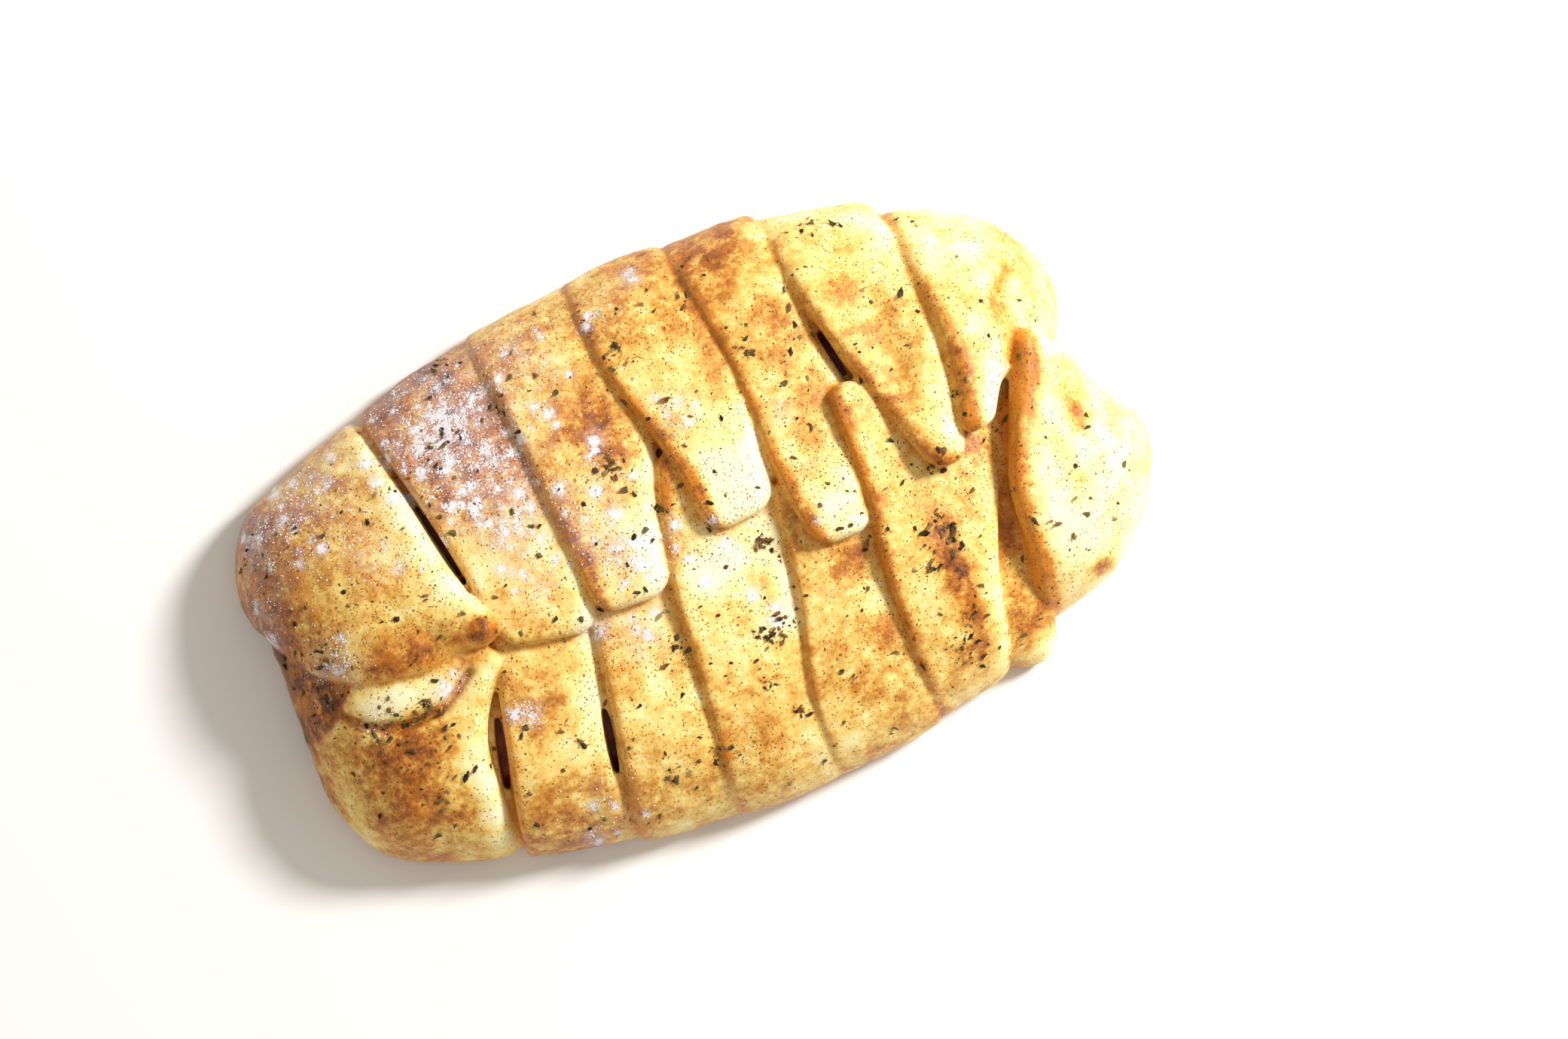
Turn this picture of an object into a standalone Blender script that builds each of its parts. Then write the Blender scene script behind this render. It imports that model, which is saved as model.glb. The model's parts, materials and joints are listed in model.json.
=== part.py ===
"""A mock-braided filled loaf, about 248 x 155 x 44 mm.

One sheet of dough is folded up over a filling: seven strips come in from the far side, six from the near
side, and a flap closes each end. The far strips' tips lie over the near strips. Each strip is a slab laid on
the loaf's domed form, between a left and a right edge that run from its tip to its foot at the loaf's side.

Units are metres, +Z up. The loaf stands on the plane z = 0, and +X runs along it.
"""

import math
import random

import bmesh
import bpy
import numpy as np
from mathutils import Matrix, Vector
from mathutils.bvhtree import BVHTree

# Driving dimensions
LOAF_LENGTH = 0.247      # along X, over both end flaps
PLAN_LENGTH = 247.0      # the same length, in the plan units of the edges below
RISE = 0.029             # height of the form's flat top
CROWN = 0.004            # extra height along the middle, over the filling
CROWN_REACH = 0.0741     # how far from the middle line the crown fades out
SHOULDER = 0.036         # how far in from the side the form reaches its full height
ROUNDNESS = 2.3          # power of the superellipse that rounds the side
TUCK_HEIGHT = 0.007      # the side turns in below this height
TUCK = 0.0025            # how far it turns in at the base
STRIP_THICKNESS = 0.0085
STRIP_CROWN = 0.0010     # how far the middle of a strip's face stands over its edges
CORE_DEPTH = 0.0065      # the dough under the strips lies this far below their faces
CORE_DEPTH_LOW = 0.003   # but only this far at the base, where the strips part from the sheet
FILLING_DEPTH = 0.0135   # and the filling this far
FILLING_BASE = 0.0075    # thickness of the dough under the filling
FILLING_GAP = 0.0003     # clearance all round the filling
LEFT_ROUND = 2.4         # how far in from a strip's edges its face turns down, in plan units
RIGHT_ROUND = 4.2
TIP_ROUND = 0.0065       # radius of a tip's corners, in plan
TIP_EDGE = 0.0032        # how far in from the tip its face turns down
EDGE_SHARE = 0.42        # the most of a strip's width that one turned-down edge takes
TIP_SHARE = 0.4          # the most of it that one corner of the tip takes
UNDER_START = 0.12       # from this fraction of its length on, a strip's underside sinks into the core,
UNDER_REACH = 0.25       # over this fraction
FOOT_POWER = 4           # how late along a strip its foot bends to the rim
DIP_PLACE = 0.34         # a strip's dip is deepest at this fraction of its length
DIP_REACH = 0.2
BURIED = 0.002           # how far the feet run below the base before it is cut flat
TIP_START = 0.28         # angle on the turned-down tip at which a strip's first cross-section lies
FOOT_CROWDING = 2.2      # how much closer together its cross-sections lie towards the foot, as a power
RIM_COUNT = 180          # points round the outline
RIM_STRIDE = 4           # of which every fourth starts a line of a mound's rings
CLOSING = 0.92           # how near a mound's last ring comes to its spine
RIM_CROWDING = 1.6       # how much closer together its rings lie by the rim, as a power
DEPTH_REACH = 0.2        # share of the way to the spine over which its depth settles
LEDGE = 0.0004           # least height of a mound's rings over its base
SLIT_FLOOR = 0.0115      # a slit's blade reaches down to here, inside the filling's hollow
SLIT_TOP = 0.049         # and up to here, over the strips
SMALLEST_FLAKE = 0.62    # the smallest herb flakes' length, as a share of the largest
FLAKE_LENGTH = 0.0036    # the largest herb flakes
FLAKE_SHAPE = (0.5, 0.27, 0.2)  # half their length, width and height, as shares of their length
FLAKE_SPREAD = (3.2, 2.4)  # how far they lie round a clump's middle, in plan units along X and Y
FLAKE_FIELD = (112, 66)  # half the field for those outside the clumps, in plan units
LEAST_UPWARD = 0.75      # flakes lie only where the dough faces up at least this much
FLAKE_COUNT = 72
SEED = 11

UNIT = LOAF_LENGTH / PLAN_LENGTH

# The loaf's smooth outline in plan, anticlockwise from the left end
OUTLINE = [
    (-121.5, -2), (-121.5, -28), (-114, -48), (-88, -62.5), (-58, -73), (-20, -77.5), (20, -77.3),
    (52, -72.5), (84, -60), (108, -49), (119.5, -32), (121, -17.5), (116, -8.5), (111.5, -1.5), (111.2, 13),
    (113.5, 30), (101, 51), (74, 68), (42, 75.5), (8, 78), (-30, 74), (-62, 68.5), (-92, 57.5), (-114, 47.5),
    (-122.3, 25),
]
SPINE = 62.0             # half-length of the line that the form's rings close on, in plan units

# Each strip's edges in plan, tip first. lift is how far its face stands over the form, in millimetres, at
# the tip's left and right and at the foot's left and right, and dip is how far its right side sinks between
# them. foot is the outline between the edges' feet, where that isn't nearly straight.
STRIPS = {
    "end": dict(left=[(-92, 14), (-108, 17), (-120, 21)], right=[(-92, -14), (-108, -18), (-121, -25)],
                lift=(-3, -3, -1.2, -1.2)),
    "tongue": dict(left=[(60, -24), (61, -50), (66, -69)], right=[(94, -20), (92, -44), (82.6, -62.6)],
                   foot=[(66, -69), (76.5, -68.9), (82.6, -62.6)], lift=(-6, -6, -5, -5)),
    "near_2": dict(left=[(-61, 2), (-68, -30), (-77.6, -66)], right=[(-30, 2), (-40.6, -38), (-44.6, -73.5)],
                   lift=(1, -1, 1.5, -1)),
    "near_3": dict(left=[(-33, 4), (-39.2, -35), (-46.6, -74)], right=[(-5, 4), (-10.6, -35), (-14.6, -77.6)],
                   lift=(1.5, -1.5, 1.5, -1.5)),
    "near_4": dict(left=[(-2.5, 24), (-12.2, -14), (-14.4, -38), (-19.3, -77.5)],
                   right=[(29, 20), (24, -12), (19.6, -36), (14, -78)], lift=(5, -1, 2.5, -1.5)),
    "near_5": dict(left=[(23, 6), (18.4, -28), (12.2, -52), (10.2, -77.8)],
                   right=[(50, 4), (47, -35), (44.6, -74.5)], lift=(3, -1.5, 1.5, -1.5)),
    "near_1": dict(left=[(-61, -9), (-80, -1), (-101, -3), (-109, -11), (-121.6, -14.5)],
                   right=[(-60.4, -15), (-66, -19.5), (-73.4, -32), (-75.6, -47), (-78.2, -64.8)],
                   foot=[(-121.6, -14.5), (-120.6, -34), (-111, -51.5), (-95, -60), (-78.2, -65.3)],
                   lift=(4, 1.5, 0.5, 0)),
    "far_2": dict(left=[(-59, -11), (-62.6, 12), (-66.8, 34), (-75.4, 64.2)],
                  right=[(-33, -15.3), (-30, 22), (-32.5, 45), (-37.4, 72.8)], lift=(6.5, 5, 1, -2)),
    "far_3": dict(left=[(-32.5, -12), (-34.4, 18), (-36, 46), (-40.8, 72.6)],
                  right=[(-11.5, -13.2), (-7.4, 7), (-1.4, 26), (-4, 52), (-7, 76.4)],
                  lift=(8.5, 5.5, 2, -2)),
    "far_4": dict(left=[(3.6, -3.2), (0, 22), (-7.6, 50), (-10.6, 76.5)],
                  right=[(23.2, -1.8), (25, 12), (28.6, 28), (25, 54), (20.8, 76.8)], lift=(9, 6, 2, -2)),
    "far_5": dict(left=[(28.2, -17), (25.4, 8), (24.8, 36), (18.4, 75.6)],
                  right=[(46, -17.6), (53, 14), (51, 34), (50.6, 52), (48.2, 75)], lift=(8.5, 4.5, 2, -2)),
    "near_6": dict(left=[(46.5, 21), (45.8, -4), (42.6, -34), (41.2, -73.6)],
                   right=[(53.6, 22.5), (73, 14), (88.5, 2), (83, -14), (76, -32), (71.5, -48), (70, -68)],
                   lift=(8.5, 5, 2, 1), right_round=9, dip=12),
    "far_6": dict(left=[(65.5, -9.5), (56.5, 18), (49, 44), (44.3, 73.5)],
                  right=[(75.4, -9.5), (80, 12), (83, 34), (82, 52), (79, 66)], lift=(11, 8, 2.5, -2),
                  left_round=4),
    "far_7": dict(left=[(75.8, -4), (79, 20), (78.2, 46), (78, 62.6)],
                  right=[(84.6, -3.5), (90, 4), (99, 8.5), (111.2, 9)],
                  foot=[(78, 62.6), (93, 56.8), (108, 44.5), (115.4, 28), (111.2, 9)],
                  lift=(12, 8.5, 3, 0), dip=5, left_round=3.4),
    "end_flap": dict(left=[(98.2, 18.8), (90.8, -3), (83.2, -20), (81.4, -40), (78.6, -60.2)],
                     right=[(101.6, 17.6), (106.5, 12), (111.4, 6.5)],
                     foot=[(78.6, -60.2), (103, -52.6), (119, -35.5), (124, -19), (119, -9), (113, -6),
                           (111.4, 6.5)],
                     lift=(6.5, 4, 3, 0), left_round=2),
    "far_1": dict(left=[(-60.6, -8.6), (-71, -6.8), (-80, -9.4), (-97, -6), (-108, 0), (-119, 12)],
                  right=[(-57.6, -2), (-63.4, 10), (-68.6, 34), (-76, 63.6)],
                  foot=[(-119, 12), (-123.4, 23), (-115.5, 46.5), (-95, 56.8), (-76, 64)],
                  lift=(9, 8.5, 0.5, 0.5), right_round=3.6),
}

# Slits that open between the strips down to the filling: both ends in plan, and the width
SLITS = [
    ((-61.6, 4), (-69.6, 41), 1.8), ((-68.4, -25), (-74.6, -49), 2.7),
    ((-40.8, -34), (-45, -56), 2.4), ((53.9, 21), (50, 41), 2.0),
]

# Where the herbs lie thickest, in plan
HERB_CLUMPS = [
    (-48, 69), (-15, 24), (-7, 8), (15, -9), (9, -36), (3, -46), (9.5, -56), (-17, -59), (-31, -60),
    (-90, -31), (-17, -27), (62, -25), (55, -34), (57, -57), (-112, 5), (80, 7), (-90, -18), (-2, 53),
]

DOUGH_COLOUR = (0.78, 0.50, 0.17, 1.0)
FILLING_COLOUR = (0.20, 0.045, 0.02, 1.0)


def smooth_path(points, fractions):
    """A smooth curve through points, read at fractions of its length."""
    points = np.array(points, float)
    steps = np.hypot(*np.diff(points, axis=0).T)
    knots = np.concatenate([[0.0], np.cumsum(steps)]) / steps.sum()
    slopes = np.gradient(points, knots, axis=0)
    span = np.clip(np.searchsorted(knots, fractions, side="right") - 1, 0, len(knots) - 2)
    width = (knots[span + 1] - knots[span])[..., None]
    t = (np.asarray(fractions)[..., None] - knots[span][..., None]) / width
    return ((2 * t**3 - 3 * t**2 + 1) * points[span] + (t**3 - 2 * t**2 + t) * width * slopes[span]
            + (3 * t**2 - 2 * t**3) * points[span + 1] + (t**3 - t**2) * width * slopes[span + 1])


def closed_path(points, count):
    """count points on the smooth closed curve through points."""
    turns = np.array(points * 3, float)
    return smooth_path(turns, np.linspace(1 / 3, 2 / 3, count, endpoint=False))


RIM = closed_path(OUTLINE, RIM_COUNT) * UNIT
RIM_NEXT = np.roll(RIM, -1, axis=0)
RIM_TANGENT = np.roll(RIM, -1, axis=0) - np.roll(RIM, 1, axis=0)
RIM_TANGENT /= np.hypot(*RIM_TANGENT.T)[:, None]
RIM_NORMAL = np.stack([RIM_TANGENT[:, 1], -RIM_TANGENT[:, 0]], axis=1)


def rim_distance(plan):
    """How far each plan point lies inside the rim (negative outside), and the way out from there."""
    offset = plan[..., None, :] - RIM
    along = RIM_NEXT - RIM
    share = np.clip((offset * along).sum(-1) / (along * along).sum(-1), 0, 1)
    gap = offset - share[..., None] * along
    nearest = np.argmin((gap * gap).sum(-1), axis=-1)
    gap = np.take_along_axis(gap, nearest[..., None, None], axis=-2)[..., 0, :]
    share = np.take_along_axis(share, nearest[..., None], axis=-1)
    following = (nearest + 1) % len(RIM)
    normal = RIM_NORMAL[nearest] * (1 - share) + RIM_NORMAL[following] * share
    normal /= np.hypot(normal[..., 0], normal[..., 1])[..., None]
    inside = np.where((gap * normal).sum(-1) < 0, 1.0, -1.0)
    return inside * np.hypot(gap[..., 0], gap[..., 1]), normal


def lay(plan, offset):
    """Points over plan places, at an offset from the loaf's domed form along its normal."""
    distance, out = rim_distance(plan)
    rim = np.clip(1 - distance / SHOULDER, 0, 1)
    top = RISE + CROWN * np.clip(1 - (plan[..., 1] / CROWN_REACH) ** 2, 0, 1)
    level = np.clip(1 - rim**ROUNDNESS, 0, 1) ** (1 / ROUNDNESS)
    sideways = rim ** (ROUNDNESS - 1) / SHOULDER
    upward = level ** (ROUNDNESS - 1) / top
    length = np.hypot(sideways, upward)
    height = top * level + upward / length * offset
    turned_in = TUCK * np.clip(1 - height / TUCK_HEIGHT, 0, 1) ** 2
    flat = plan + out * (sideways / length * offset - turned_in)[..., None]
    return np.concatenate([flat, height[..., None]], axis=-1)


def ring_places(corner_steps, top_steps, base_steps):
    """A slab's cross-section: (side, inset, level) round it, with level 1 on its face and -1 under it."""
    turn = np.linspace(0, math.pi / 2, corner_steps + 1)
    corner = [(1 - math.cos(a), math.sin(a)) for a in turn]
    ring = [(0, inset, level) for inset, level in corner]
    ring += [(k / top_steps, 1.0, 1.0) for k in range(1, top_steps)]
    ring += [(1, inset, level) for inset, level in reversed(corner)]
    ring += [(1, inset, -level) for inset, level in corner[1:]]
    ring += [(1 - k / base_steps, 1.0, -1.0) for k in range(1, base_steps)]
    ring += [(0, inset, -level) for inset, level in reversed(corner[1:])]
    return np.array(ring)


def station_fractions(steps, tip_share):
    """Fractions along a strip: close together round the tip, and down the side at the foot."""
    tip = tip_share * (1 - np.cos(np.linspace(TIP_START, math.pi / 2, 4)))
    rest = np.linspace(0, 1, steps + 1)[1:]
    return np.concatenate([tip, tip_share + (1 - tip_share) * (1 - (1 - rest) ** FOOT_CROWDING)])


def strip_rings(left, right, lift, foot=None, left_round=LEFT_ROUND, right_round=RIGHT_ROUND, dip=0,
                steps=9):
    """Cross-sections of one strip, laid on the form from its tip to its foot."""
    ring = ring_places(2, 4 if foot is None else 9, 1)
    left_length = np.hypot(*np.diff(np.array(left, float), axis=0).T).sum()
    right_length = np.hypot(*np.diff(np.array(right, float), axis=0).T).sum()
    length = UNIT * (left_length + right_length) / 2
    u = station_fractions(steps, TIP_EDGE / length)
    left_edge = smooth_path(left, u) * UNIT
    right_edge = smooth_path(right, u) * UNIT
    width = np.hypot(*(right_edge - left_edge).T)

    left_round = np.minimum(left_round * UNIT, EDGE_SHARE * width)[:, None]
    right_round = np.minimum(right_round * UNIT, EDGE_SHARE * width)[:, None]
    inset = np.where(ring[:, 0] < 0.5, left_round, right_round) * ring[:, 1]
    flat_width = width[:, None] - left_round - right_round
    across = np.where(ring[:, 0] == 0, inset, np.where(ring[:, 0] == 1, width[:, None] - inset,
                      left_round + ring[:, 0] * flat_width)) / width[:, None]

    from_tip = u * length
    corner = np.clip(1 - from_tip / np.minimum(TIP_ROUND, TIP_SHARE * width), 0, 1)
    narrowed = 1 - 2 * np.minimum(TIP_ROUND / width, TIP_SHARE) * (1 - np.sqrt(1 - corner**2))
    across = 0.5 + (across - 0.5) * narrowed[:, None]

    # A patch between the two edges, the line across the tip and the foot's outline
    v = across[..., None]
    foot_line = left_edge[-1] * (1 - v) + right_edge[-1] * v
    foot_curve = foot_line if foot is None else smooth_path(foot, across) * UNIT
    plan = left_edge[:, None] * (1 - v) + right_edge[:, None] * v
    plan = plan + u[:, None, None] * (foot_curve - foot_line)

    tip_left, tip_right, foot_left, foot_right = (0.001 * value for value in lift)
    along = u * u * (3 - 2 * u)
    face = ((tip_left * (1 - across) + tip_right * across) * (1 - along[:, None])
            + (foot_left * (1 - across) + foot_right * across) * along[:, None])
    sink = np.exp(-(((u - DIP_PLACE) / DIP_REACH) ** 2))[:, None]
    face = face - 0.001 * dip * across**1.5 * sink
    beyond, way_out = rim_distance(foot_curve)
    reach = (u**FOOT_POWER)[:, None]
    plan = plan + (reach * beyond)[..., None] * way_out
    face = face * (1 - reach) - reach * beyond
    face = face + STRIP_CROWN * 4 * across * (1 - across)

    rounded = np.sqrt(1 - np.clip(1 - from_tip / TIP_EDGE, 0, 1) ** 2)[:, None]
    sunk = np.clip((u - UNDER_START) / UNDER_REACH, 0, 1)[:, None]
    under = face - STRIP_THICKNESS * (1 - sunk) - np.maximum(face + STRIP_THICKNESS, STRIP_THICKNESS) * sunk
    middle = (face + under) / 2
    offset = middle + (face - under) / 2 * rounded * ring[:, 2]
    rings = lay(plan, offset)
    buried = rings[-1:].copy()
    buried[..., 2] = -BURIED
    return np.concatenate([rings, buried])


def skin(name, rings, collection):
    """A closed mesh object over a row of cross-sections."""
    count, around, _ = rings.shape
    bm = bmesh.new()
    rows = [[bm.verts.new(point) for point in ring] for ring in rings.tolist()]
    for lower, upper in zip(rows, rows[1:]):
        for k in range(around):
            bm.faces.new((lower[k], lower[(k + 1) % around], upper[(k + 1) % around], upper[k]))
    bm.faces.new(rows[0][::-1])
    bm.faces.new(rows[-1])
    bmesh.ops.triangulate(bm, faces=bm.faces)
    bmesh.ops.recalc_face_normals(bm, faces=bm.faces)
    return add_object(name, bm, collection)


def add_object(name, bm, collection):
    mesh = bpy.data.meshes.new(name)
    bm.to_mesh(mesh)
    bm.free()
    obj = bpy.data.objects.new(name, mesh)
    collection.objects.link(obj)
    return obj


def mound(name, depth, low_depth, base, collection, steps=7):
    """A closed mound under the form, at low_depth by the rim and depth inside it, and flat at base."""
    rim = RIM[::RIM_STRIDE]
    centre = np.stack([np.clip(rim[:, 0], -SPINE * UNIT, SPINE * UNIT), 0 * rim[:, 1]], axis=1)
    shares = np.linspace(0, CLOSING, steps) ** RIM_CROWDING
    depths = low_depth + (depth - low_depth) * np.clip(shares / DEPTH_REACH, 0, 1)
    rings = np.stack([lay(rim + (centre - rim) * share, -deep) for share, deep in zip(shares, depths)])
    foot = rings[:1].copy()
    foot[..., 2] = base
    rings[..., 2] = np.maximum(rings[..., 2], base + LEDGE)
    return skin(name, np.concatenate([foot, rings]), collection)


def box(name, size, matrix, collection):
    bm = bmesh.new()
    bmesh.ops.create_cube(bm, size=1.0, matrix=matrix @ Matrix.Diagonal((*size, 1.0)))
    return add_object(name, bm, collection)


def slit_cutter(name, start, end, width, collection):
    """An upright lens-shaped blade from inside the filling's hollow to above the strips."""
    start, end = (Vector((*place, 0)) * UNIT for place in (start, end))
    run = end - start
    middle = (start + end) / 2 + Vector((0, 0, (SLIT_FLOOR + SLIT_TOP) / 2))
    place = Matrix.Translation(middle) @ Matrix.Rotation(math.atan2(run.y, run.x), 4, "Z")
    size = Matrix.Diagonal((run.length / 2, width * UNIT / 2, SLIT_TOP - SLIT_FLOOR, 1.0))
    bm = bmesh.new()
    bmesh.ops.create_cone(bm, cap_ends=True, segments=12, radius1=1, radius2=1, depth=1, matrix=place @ size)
    return add_object(name, bm, collection)


def surface_under(x, y, trees):
    """The highest point of any strip at a place in plan, and the normal there."""
    hits = [tree.ray_cast(Vector((x, y, 0.1)), Vector((0, 0, -1))) for tree in trees]
    hits = [hit for hit in hits if hit[0] is not None]
    return max(hits, key=lambda hit: hit[0].z, default=None)


def herb_places(random_source):
    """Places in plan for the flakes: most in the clumps, the rest spread over the loaf."""
    for k in range(FLAKE_COUNT):
        if k % 3:
            x, y = HERB_CLUMPS[(k // 3 * 2 + k % 3) % len(HERB_CLUMPS)]
            yield x + random_source.gauss(0, FLAKE_SPREAD[0]), y + random_source.gauss(0, FLAKE_SPREAD[1])
        else:
            length, width = FLAKE_FIELD
            yield random_source.uniform(-length, length), random_source.uniform(-width, width)


def add_flakes(trees, collection):
    """Dried herb flakes, half sunk in the dough they lie on."""
    random_source = random.Random(SEED)
    for k, (x, y) in enumerate(herb_places(random_source)):
        hit = surface_under(x * UNIT, y * UNIT, trees)
        length = FLAKE_LENGTH * random_source.uniform(SMALLEST_FLAKE, 1.0)
        turn = random_source.uniform(0, math.tau)
        if hit is None or hit[1].z < LEAST_UPWARD:
            continue
        half_sizes = [length * share for share in FLAKE_SHAPE]
        lie = hit[1].to_track_quat("Z", "Y").to_matrix().to_4x4()
        place = Matrix.Translation(hit[0]) @ lie @ Matrix.Rotation(turn, 4, "Z")
        place = place @ Matrix.Diagonal((*half_sizes, 1.0))
        bm = bmesh.new()
        bmesh.ops.create_icosphere(bm, subdivisions=1, radius=1.0, matrix=place)
        add_object(f"flake_{k}", bm, collection)


def join_by_boolean(obj, operation, operands):
    """Joins or cuts obj by a whole collection, and removes the collection's objects."""
    modifier = obj.modifiers.new(operation.lower(), "BOOLEAN")
    modifier.operation = operation
    modifier.operand_type = "COLLECTION"
    modifier.collection = operands
    modifier.solver = "MANIFOLD"
    graph = bpy.context.evaluated_depsgraph_get()
    mesh = bpy.data.meshes.new_from_object(obj.evaluated_get(graph))
    obj.modifiers.clear()
    obj.data = mesh
    for operand in list(operands.objects):
        bpy.data.objects.remove(operand, do_unlink=True)
    bpy.data.collections.remove(operands)


def keep_largest_shell(obj):
    """Fills hollows that the joining sealed and drops loose scraps: only the largest shell stays."""
    bm = bmesh.new()
    bm.from_mesh(obj.data)
    bmesh.ops.remove_doubles(bm, verts=bm.verts, dist=1e-6)
    bmesh.ops.dissolve_degenerate(bm, edges=bm.edges, dist=1e-6)
    bmesh.ops.triangulate(bm, faces=bm.faces)
    waiting, shells = set(bm.faces), []
    while waiting:
        reached, shell = [waiting.pop()], []
        while reached:
            face = reached.pop()
            shell.append(face)
            linked = {other for edge in face.edges for other in edge.link_faces} & waiting
            waiting -= linked
            reached.extend(linked)
        shells.append(shell)
    shells.sort(key=len)
    for shell in shells[:-1]:
        bmesh.ops.delete(bm, geom=shell, context="FACES")
    bm.to_mesh(obj.data)
    bm.free()


def material(name, colour, roughness):
    made = bpy.data.materials.new(name)
    made.use_nodes = True
    shader = made.node_tree.nodes["Principled BSDF"]
    shader.inputs["Base Color"].default_value = colour
    shader.inputs["Roughness"].default_value = roughness
    shader.inputs["Metallic"].default_value = 0.0
    return made


def new_collection(name):
    made = bpy.data.collections.new(name)
    bpy.context.scene.collection.children.link(made)
    return made


def make_loaf(parts):
    """The dough: core, strips and flakes joined, then cut by the floor, the hollow and the slits."""
    pieces = new_collection("pieces")
    loaf = mound("loaf", CORE_DEPTH, CORE_DEPTH_LOW, -BURIED, parts)
    strips = [skin(name, strip_rings(**shape), pieces) for name, shape in STRIPS.items()]
    graph = bpy.context.evaluated_depsgraph_get()
    add_flakes([BVHTree.FromObject(strip, graph) for strip in strips], pieces)
    join_by_boolean(loaf, "UNION", pieces)

    cuts = new_collection("cuts")
    hollow_depth = FILLING_DEPTH - FILLING_GAP
    mound("hollow", hollow_depth, hollow_depth, FILLING_BASE, cuts)
    for k, (start, end, width) in enumerate(SLITS):
        slit_cutter(f"slit_{k}", start, end, width, cuts)
    box("floor", (2 * LOAF_LENGTH, 2 * LOAF_LENGTH, 0.02), Matrix.Translation((0, 0, -0.01)), cuts)
    join_by_boolean(loaf, "DIFFERENCE", cuts)
    keep_largest_shell(loaf)
    loaf.data.shade_smooth()
    loaf.data.set_sharp_from_angle(angle=math.radians(50))
    loaf.data.materials.append(material("crust", DOUGH_COLOUR, 0.55))
    return loaf


def make_filling(parts):
    filling = mound("filling", FILLING_DEPTH, FILLING_DEPTH, FILLING_BASE + FILLING_GAP, parts)
    filling.data.materials.append(material("filling", FILLING_COLOUR, 0.45))
    return filling


def main():
    for obj in list(bpy.data.objects):
        bpy.data.objects.remove(obj, do_unlink=True)
    parts = new_collection("braided_loaf")
    make_loaf(parts)
    make_filling(parts)


main()
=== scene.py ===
"""Looks of the braided filled loaf: its crust, herbs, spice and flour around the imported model.

Units are metres, +Z up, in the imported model's frame. The crust repeats the strips of the part's source, cut
finer, so that it fills the same space as the solid that it replaces. Places in plan are in units of UNIT.
"""

import itertools
import json
import math

import bmesh
import bpy
import numpy as np
from mathutils import Matrix, Vector
from mathutils.bvhtree import BVHTree
from mathutils.kdtree import KDTree

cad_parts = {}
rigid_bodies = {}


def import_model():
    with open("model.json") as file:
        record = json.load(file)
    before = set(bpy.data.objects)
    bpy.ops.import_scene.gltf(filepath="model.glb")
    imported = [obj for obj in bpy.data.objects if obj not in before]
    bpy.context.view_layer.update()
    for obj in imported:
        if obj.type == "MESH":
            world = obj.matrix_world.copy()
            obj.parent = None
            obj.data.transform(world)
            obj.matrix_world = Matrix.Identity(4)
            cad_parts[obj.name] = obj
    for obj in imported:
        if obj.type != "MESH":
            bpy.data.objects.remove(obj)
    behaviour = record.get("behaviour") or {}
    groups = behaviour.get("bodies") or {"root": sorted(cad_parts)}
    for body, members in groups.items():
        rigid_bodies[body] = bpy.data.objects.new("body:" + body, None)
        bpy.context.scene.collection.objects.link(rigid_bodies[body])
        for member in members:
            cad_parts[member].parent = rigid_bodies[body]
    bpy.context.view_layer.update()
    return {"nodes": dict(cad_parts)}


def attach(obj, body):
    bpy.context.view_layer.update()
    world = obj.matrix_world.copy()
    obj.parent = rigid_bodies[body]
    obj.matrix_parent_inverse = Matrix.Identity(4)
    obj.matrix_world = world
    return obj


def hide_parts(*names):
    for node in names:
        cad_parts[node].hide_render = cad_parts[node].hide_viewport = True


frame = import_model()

# The loaf's form, as in the part's source
LOAF_LENGTH = 0.247
PLAN_LENGTH = 247.0
RISE = 0.029
CROWN = 0.004
CROWN_REACH = 0.0741
SHOULDER = 0.036
ROUNDNESS = 2.3
TUCK_HEIGHT = 0.007
TUCK = 0.0025
STRIP_THICKNESS = 0.0085
STRIP_CROWN = 0.0010
CORE_DEPTH = 0.0065
CORE_DEPTH_LOW = 0.003
LEFT_ROUND = 2.4
RIGHT_ROUND = 4.2
TIP_ROUND = 0.0065
TIP_EDGE = 0.0032
EDGE_SHARE = 0.42
TIP_SHARE = 0.4
UNDER_START = 0.12
UNDER_REACH = 0.25
FOOT_POWER = 4
DIP_PLACE = 0.34
DIP_REACH = 0.2
BURIED = 0.002
RIM_COUNT = 180
CLOSING = 0.92
RIM_CROWDING = 1.6
DEPTH_REACH = 0.2
LEDGE = 0.0004
SLIT_FLOOR = 0.0115
SLIT_TOP = 0.049
SLIT_SIDES = 48
CUT_WIDTH, CUT_DEPTH = 0.5, 0.02  # of the block that cuts the loaf flat at its base
UNIT = LOAF_LENGTH / PLAN_LENGTH

# The loaf's outline in plan
OUTLINE = [
    (-121.5, -2), (-121.5, -28), (-114, -48), (-88, -62.5), (-58, -73), (-20, -77.5), (20, -77.3),
    (52, -72.5), (84, -60), (108, -49), (119.5, -32), (121, -17.5), (116, -8.5), (111.5, -1.5),
    (111.2, 13), (113.5, 30), (101, 51), (74, 68), (42, 75.5), (8, 78), (-30, 74), (-62, 68.5),
    (-92, 57.5), (-114, 47.5), (-122.3, 25),
]
SPINE = 62.0

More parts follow.
